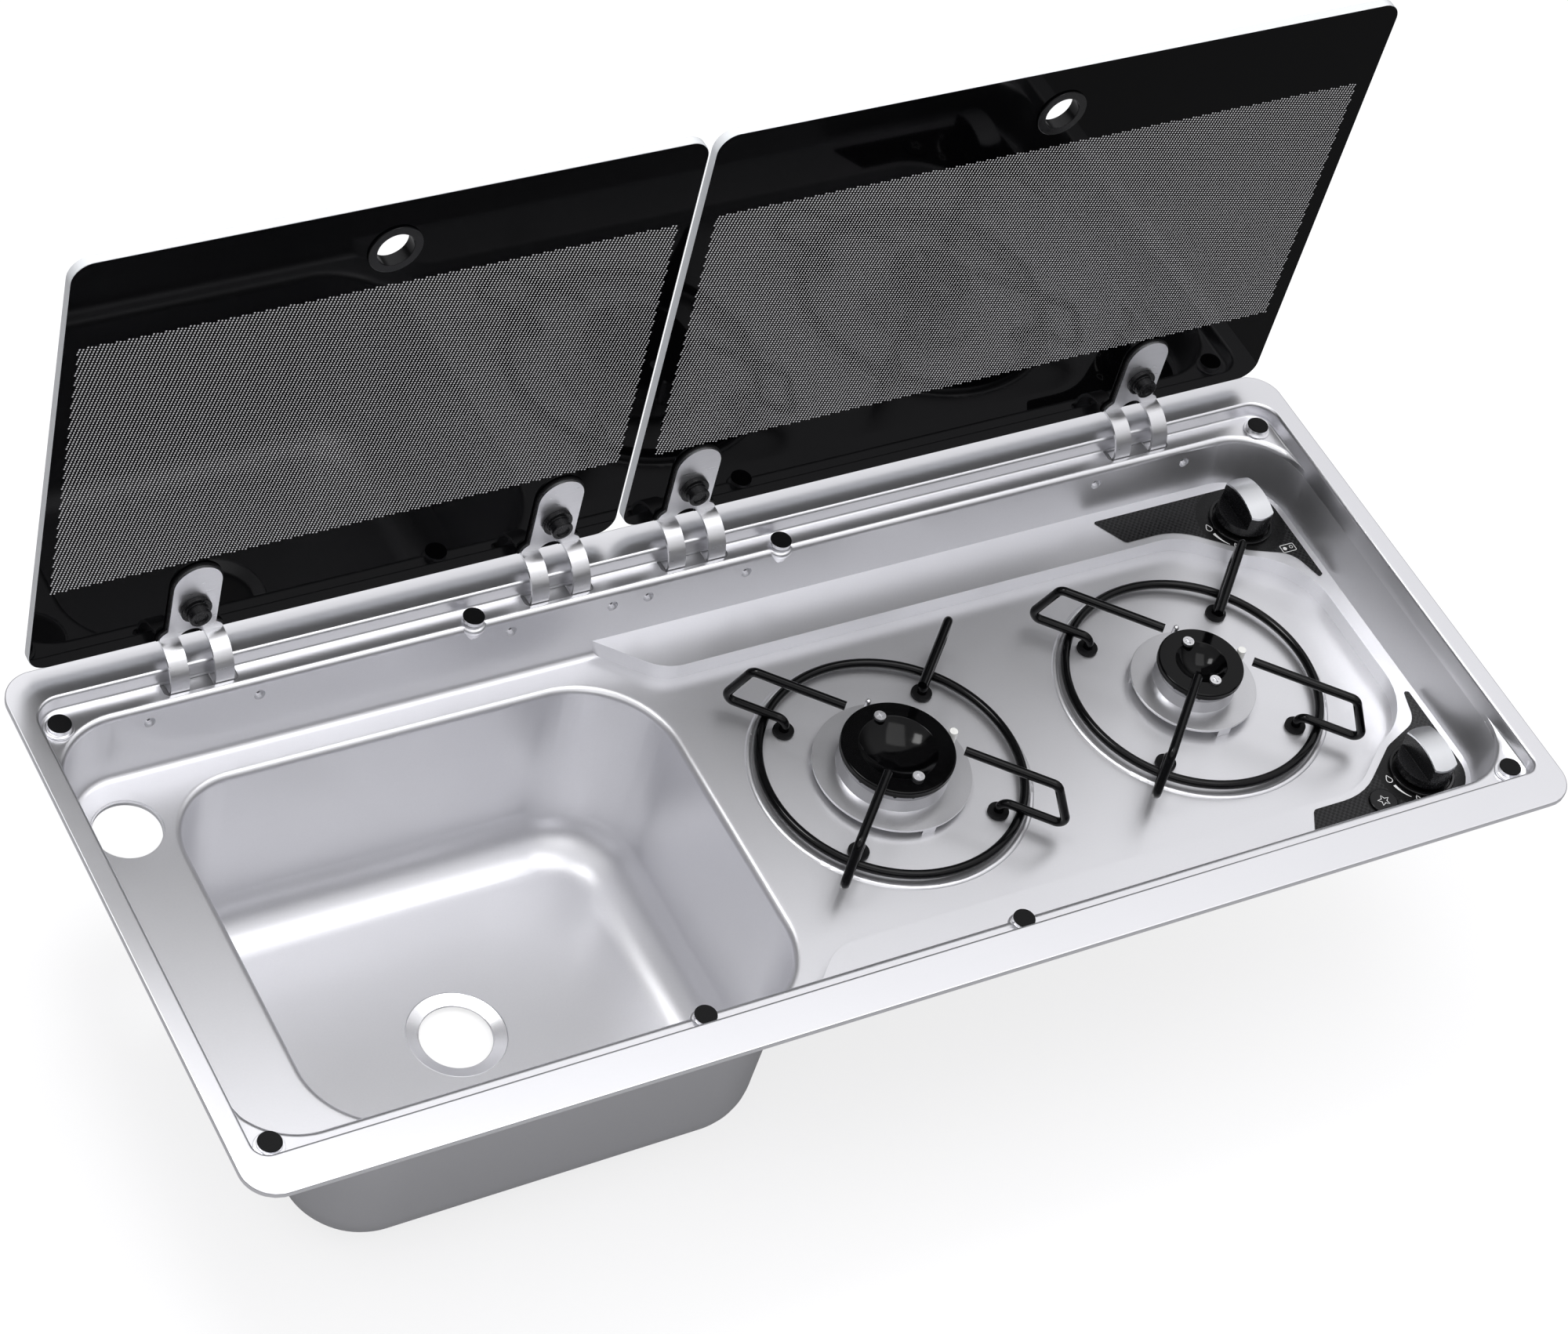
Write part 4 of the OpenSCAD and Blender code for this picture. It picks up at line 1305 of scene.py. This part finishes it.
@dataclass
class Burner:
    """One burner with its cap, head, base, pins, screws and pan support."""

    side: str
    cap: BurnerCap

    def build(self) -> None:
        """Make the burner's pieces."""
        s = self.side
        FormedPart(f"{s}_burner_base", ALUMINIUM, edge=0.3, crease=Crease.FINE).build()
        # The head's darker aluminium is painted shade under the cap.
        FormedPart(f"{s}_burner_head", SHADED_HEAD_ALUMINIUM, edge=0.0).build()
        self.cap.build()
        FormedPart(f"{s}_cap_screws", BRIGHT_STEEL, edge=0.15).build()
        FormedPart(f"{s}_igniter", CERAMIC, edge=0.4).build()
        FormedPart(f"{s}_thermocouple", BRIGHT_STEEL, edge=0.2).build()
        FormedPart(f"{s}_pan_support", WIRE_ENAMEL, edge=0.0).build()
        FormedPart(f"{s}_support_grommets", RUBBER, edge=0.4).build()
        FormedPart(f"{s}_gas_pipe", BRASS, edge=0.0).build()


@dataclass
class Control:
    """One knob with its strap, bezel, stem, valve and panel."""

    side: str

    def build(self) -> None:
        """Make the control's pieces."""
        s = self.side
        FormedPart(f"{s}_control_panel", PANEL, edge=0.0).build()
        FormedPart(f"{s}_knob_bezel", GLOSS_BLACK, edge=0.5, steps=3).build()
        FormedPart(f"{s}_knob", KNOB_BLACK, edge=0.6, steps=3).build()
        FormedPart(f"{s}_knob_strap", SILVER, edge=0.3).build()
        FormedPart(f"{s}_valve_stem", BRASS, edge=0.0).build()
        FormedPart(f"{s}_spring_cup", BRIGHT_STEEL, edge=0.0).build()
        FormedPart(f"{s}_gas_valve", BRASS, edge=0.4).build()


@dataclass
class Ignition:
    """The ignition button, its generator and the gas rail beside it."""

    def build(self) -> None:
        """Make the pieces."""
        FormedPart("ignition_button", GLOSS_BLACK, edge=0.6, steps=3).build()
        FormedPart("piezo_igniter", PALE_PLASTIC, edge=0.4).build()
        FormedPart("gas_rail", BRASS, edge=0.3).build()


@dataclass
class Print:
    """White symbols printed on a panel or button, as flat strips with a little thickness.

    The wedge's width is that of its wide end and how much of it is gone at the other end.
    """

    name: str
    body: str
    z: float
    thick: float = 0.05
    round_steps: int = 24
    flame_steps: int = 28
    flame_narrow: float = 0.45
    flame_rise: float = 0.9
    wedge_steps: int = 12
    wedge_width: tuple = (1.7, 1.4)
    star_waist: float = 0.45
    bm: Mesh = field(default_factory=bmesh.new)

    def strip(self, points: list, widths: list, closed: bool = False) -> None:
        """Add a strip along a line.

        Args:
            points: Points (x, y) in millimetres.
            widths: The strip's width at each point.
            closed: Whether the line runs back to its start.
        """
        sides = []
        n = len(points)
        for i, (point, width) in enumerate(zip(points, widths)):
            before = Vector(points[(i - 1) % n] if closed or i > 0 else points[i])
            after = Vector(points[(i + 1) % n] if closed or i < n - 1 else points[i])
            way = (after - before).normalized()
            off = Vector((-way.y, way.x)) * width / 2.0
            sides.append((Vector(point) + off, Vector(point) - off))
        last = n if closed else n - 1
        for i in range(last):
            (a, b), (c, d) = sides[i], sides[(i + 1) % n]
            corners = [self.bm.verts.new((p.x * MM, p.y * MM, self.z * MM)) for p in (a, b, d, c)]
            self.bm.faces.new(corners)

    def disc(self, x: float, y: float, radius: float) -> None:
        """Add a filled disc."""
        rim = circle(x, y, radius, self.round_steps)
        self.bm.faces.new([self.bm.verts.new((a * MM, b * MM, self.z * MM)) for a, b in rim])

    def ring(self, x: float, y: float, radius: float, width: float) -> None:
        """Add a ring."""
        rim = circle(x, y, radius, self.round_steps)
        self.strip(rim, [width] * len(rim), closed=True)

    def flame(self, x: float, y: float, size: float, width: float) -> None:
        """Add the outline of a flame, its tip towards the back.

        Args:
            x: Centre of its belly.
            y: Centre of its belly.
            size: Radius of the belly.
            width: Width of the line.
        """
        line = []
        for i in range(self.flame_steps):
            angle = math.tau * i / self.flame_steps
            lift = max(0.0, math.sin(angle)) ** 3
            side = size * math.cos(angle) * (1.0 - self.flame_narrow * lift)
            line.append((x + side, y + size * (math.sin(angle) + self.flame_rise * lift)))
        self.strip(line, [width] * len(line), closed=True)

    def wedge(self, x: float, y: float, radius: float, start: float, end: float) -> None:
        """Add a curved wedge that grows from a point.

        Args:
            x: Centre of the arc.
            y: Centre of the arc.
            radius: Its radius.
            start: Angle of its wide end in degrees.
            end: Angle of its thin end.
        """
        steps = self.wedge_steps
        wide, lost = self.wedge_width
        line = []
        for i in range(steps + 1):
            angle = math.radians(start + (end - start) * i / steps)
            line.append((x + radius * math.cos(angle), y + radius * math.sin(angle)))
        self.strip(line, [wide - lost * i / steps for i in range(steps + 1)])

    def star(self, x: float, y: float, radius: float, width: float) -> None:
        """Add the outline of a five-pointed spark.

        Args:
            x: Its centre.
            y: Its centre.
            radius: Reach of its points.
            width: Width of the line.
        """
        line = []
        for i in range(10):
            reach = radius if i % 2 == 0 else radius * self.star_waist
            angle = math.radians(90.0 + 36.0 * i)
            line.append((x + reach * math.cos(angle), y + reach * math.sin(angle)))
        self.strip(line, [width] * len(line), closed=True)

    def build(self) -> None:
        """Give the strips their thickness and put them on their body."""
        thicken(self.bm, self.bm.faces[:], self.thick)
        dress(finish_mesh(self.bm, self.name, weighted=False), PRINT_WHITE, self.body)


def print_symbols() -> None:
    """Print the flames, wedges, burner picture and spark."""
    panel_top = -39.52
    for side, (x, y) in KNOBS.items():
        sheet = Print(f"{side}_panel_symbols", "tray", panel_top)
        sheet.flame(x - 21.0, y + 0.4, 1.7, 0.45)
        sheet.wedge(x, y, 20.6, -170.0, -139.0)
        sheet.flame(x - 12.3, y - 15.8, 1.1, 0.4)
        if side == "back":
            px, py = 350.4, 67.6
            border = RoundedOutline(px - 4.4, px + 4.4, py - 2.6, py + 2.6, (0.8,) * 4).loop(0.0, 4)
            sheet.strip(border, [0.4] * len(border), closed=True)
            sheet.disc(px - 2.1, py, 1.2)
            sheet.ring(px + 2.1, py + 0.3, 1.0, 0.35)
        sheet.build()
    button = Print("button_spark", "igniter_button", frame_top("ignition_button") - 0.02)
    button.star(*BUTTON, 3.6, 0.5)
    button.build()


# ---------------------------------------------------------------- stage


CAMERA_MATRIX = Matrix(
    (
        (0.866971, 0.228858, -0.442703, -0.965670),
        (-0.455604, 0.723966, -0.517975, -1.087750),
        (0.201959, 0.650766, 0.731926, 1.606052),
        (0.000000, 0.000000, 0.000000, 1.000000),
    )
)


@dataclass(frozen=True)
class Softbox:
    """A soft rectangular lamp: its place, aim and size in metres and its power in watts."""

    name: str
    place: tuple
    aim: tuple
    size: tuple
    power: float

    def build(self) -> None:
        """Hang the lamp."""
        data = bpy.data.lights.new(self.name, "AREA")
        data.shape = "RECTANGLE"
        data.size, data.size_y = self.size
        data.energy = self.power
        turn = (Vector(self.aim) - Vector(self.place)).to_track_quat("-Z", "Y").to_matrix()
        add_object(self.name, data).matrix_world = Matrix.Translation(self.place) @ turn.to_4x4()


@dataclass
class Studio:
    """The camera at the photograph's angle, soft lights, world and floor.

    A row of the sky is a height from 0 at the nadir to 1 at the zenith, a grey level and a blue
    level. The two ends come first.
    """

    lens: float = 97.806
    sensor: float = 36.0
    clip: tuple = (0.05, 50.0)
    floor_z: float = -0.176
    floor_half: float = 6.0
    floor_colour: tuple = (0.34, 0.34, 0.345, 1.0)
    floor_glow: float = 0.74
    floor_mirrored: float = 0.08
    sky: tuple = (
        (0.0, 0.4, 0.41), (1.0, 0.8, 0.82), (0.45, 0.25, 0.255), (0.53, 0.05, 0.051),
        (0.64, 0.14, 0.1428), (0.78, 0.75, 0.765), (0.9, 0.95, 0.969),
    )
    lamps: tuple = (
        Softbox("key_softbox", (-0.55, 0.60, 2.0), (0.0, 0.0, 0.0), (0.7, 0.5), 12.5),
        Softbox("top_softbox", (0.5, -0.2, 2.3), (0.1, 0.0, 0.0), (1.8, 1.2), 12.5),
        Softbox("front_softbox", (-0.9, -1.8, 1.5), (0.0, 0.0, 0.0), (1.6, 0.9), 3.0),
    )

    def camera(self) -> None:
        """Set the camera."""
        data = bpy.data.cameras.new("camera")
        data.lens = self.lens
        data.sensor_width = self.sensor
        data.sensor_fit = "HORIZONTAL"
        data.clip_start, data.clip_end = self.clip
        obj = add_object("camera", data)
        obj.matrix_world = CAMERA_MATRIX
        bpy.context.scene.camera = obj

    def world(self) -> None:
        """Light the object from a sky that changes with height, with a white backdrop for the
        camera.
        """
        world = bpy.data.worlds.new("studio")
        bpy.context.scene.world = world
        board = NodeBoard(world, "ShaderNodeOutputWorld")
        seen = board.add("ShaderNodeBackground")
        seen.inputs["Color"].default_value = (1.0, 1.0, 1.0, 1.0)
        lit = board.add("ShaderNodeBackground")
        split = board.add("ShaderNodeSeparateXYZ")
        board.wire(board.add("ShaderNodeTexCoord").outputs["Generated"], split.inputs[0])
        ramp = board.add("ShaderNodeValToRGB")
        board.wire(board.math("MULTIPLY_ADD", split.outputs["Z"], 0.5, 0.5), ramp.inputs["Fac"])
        steps = ramp.color_ramp.elements
        for i, (height, grey, blue) in enumerate(self.sky):
            step = steps[i] if i < 2 else steps.new(height)
            step.color = (grey, grey, blue, 1.0)
        board.wire(ramp.outputs["Color"], lit.inputs["Color"])
        mix = board.add("ShaderNodeMixShader")
        board.wire(board.add("ShaderNodeLightPath").outputs["Is Camera Ray"], mix.inputs[0])
        board.wire(lit.outputs[0], mix.inputs[1])
        board.wire(seen.outputs[0], mix.inputs[2])
        board.wire(mix.outputs[0], board.output.inputs["Surface"])

    def floor(self) -> None:
        """Lay the pale floor that keeps the object's shadow."""
        bm = bmesh.new()
        bmesh.ops.create_grid(bm, x_segments=1, y_segments=1, size=self.floor_half)
        bmesh.ops.translate(bm, verts=bm.verts[:], vec=(0.0, 0.0, self.floor_z))
        obj = finish_mesh(bm, "studio_floor", weighted=False)
        board = NodeBoard(bpy.data.materials.new("floor_white"))
        diffuse = board.add("ShaderNodeBsdfDiffuse")
        diffuse.inputs["Color"].default_value = self.floor_colour
        glow = board.add("ShaderNodeEmission")
        glow.inputs["Color"].default_value = (1.0, 1.0, 1.0, 1.0)
        ray = board.add("ShaderNodeLightPath").outputs
        clear = board.math("MAXIMUM", ray["Is Camera Ray"], ray["Is Transmission Ray"])
        mirrored = board.math("MULTIPLY", ray["Is Glossy Ray"], self.floor_mirrored)
        seen = board.math("MULTIPLY", clear, self.floor_glow)
        board.wire(board.math("MAXIMUM", seen, mirrored), glow.inputs["Strength"])
        both = board.add("ShaderNodeAddShader")
        board.wire(diffuse.outputs[0], both.inputs[0])
        board.wire(glow.outputs[0], both.inputs[1])
        board.wire(both.outputs[0], board.output.inputs["Surface"])
        obj.data.materials.append(board.owner)

    def build(self) -> None:
        """Set the whole stage."""
        bpy.context.scene.view_settings.view_transform = "Standard"
        self.camera()
        self.world()
        self.floor()
        for lamp in self.lamps:
            lamp.build()


def main() -> None:
    """Build the unit in order and report each piece."""
    Studio().build()
    Tray().build()
    for side, glass in (("left", LEFT_GLASS), ("right", RIGHT_GLASS)):
        Lid(side, glass).build()
    left_cap = BurnerCap("left", 56.5, 31.0, 21.0, 21.4)
    right_cap = BurnerCap("right", 247.0, 24.0, 14.0, 14.4, foot=-32.5, top=-28.0)
    for cap in (left_cap, right_cap):
        Burner(cap.side, cap).build()
    for side in ("back", "front"):
        Control(side).build()
    Ignition().build()
    print_symbols()


if __name__ == "__main__":
    logging.basicConfig(level=logging.INFO)
    main()
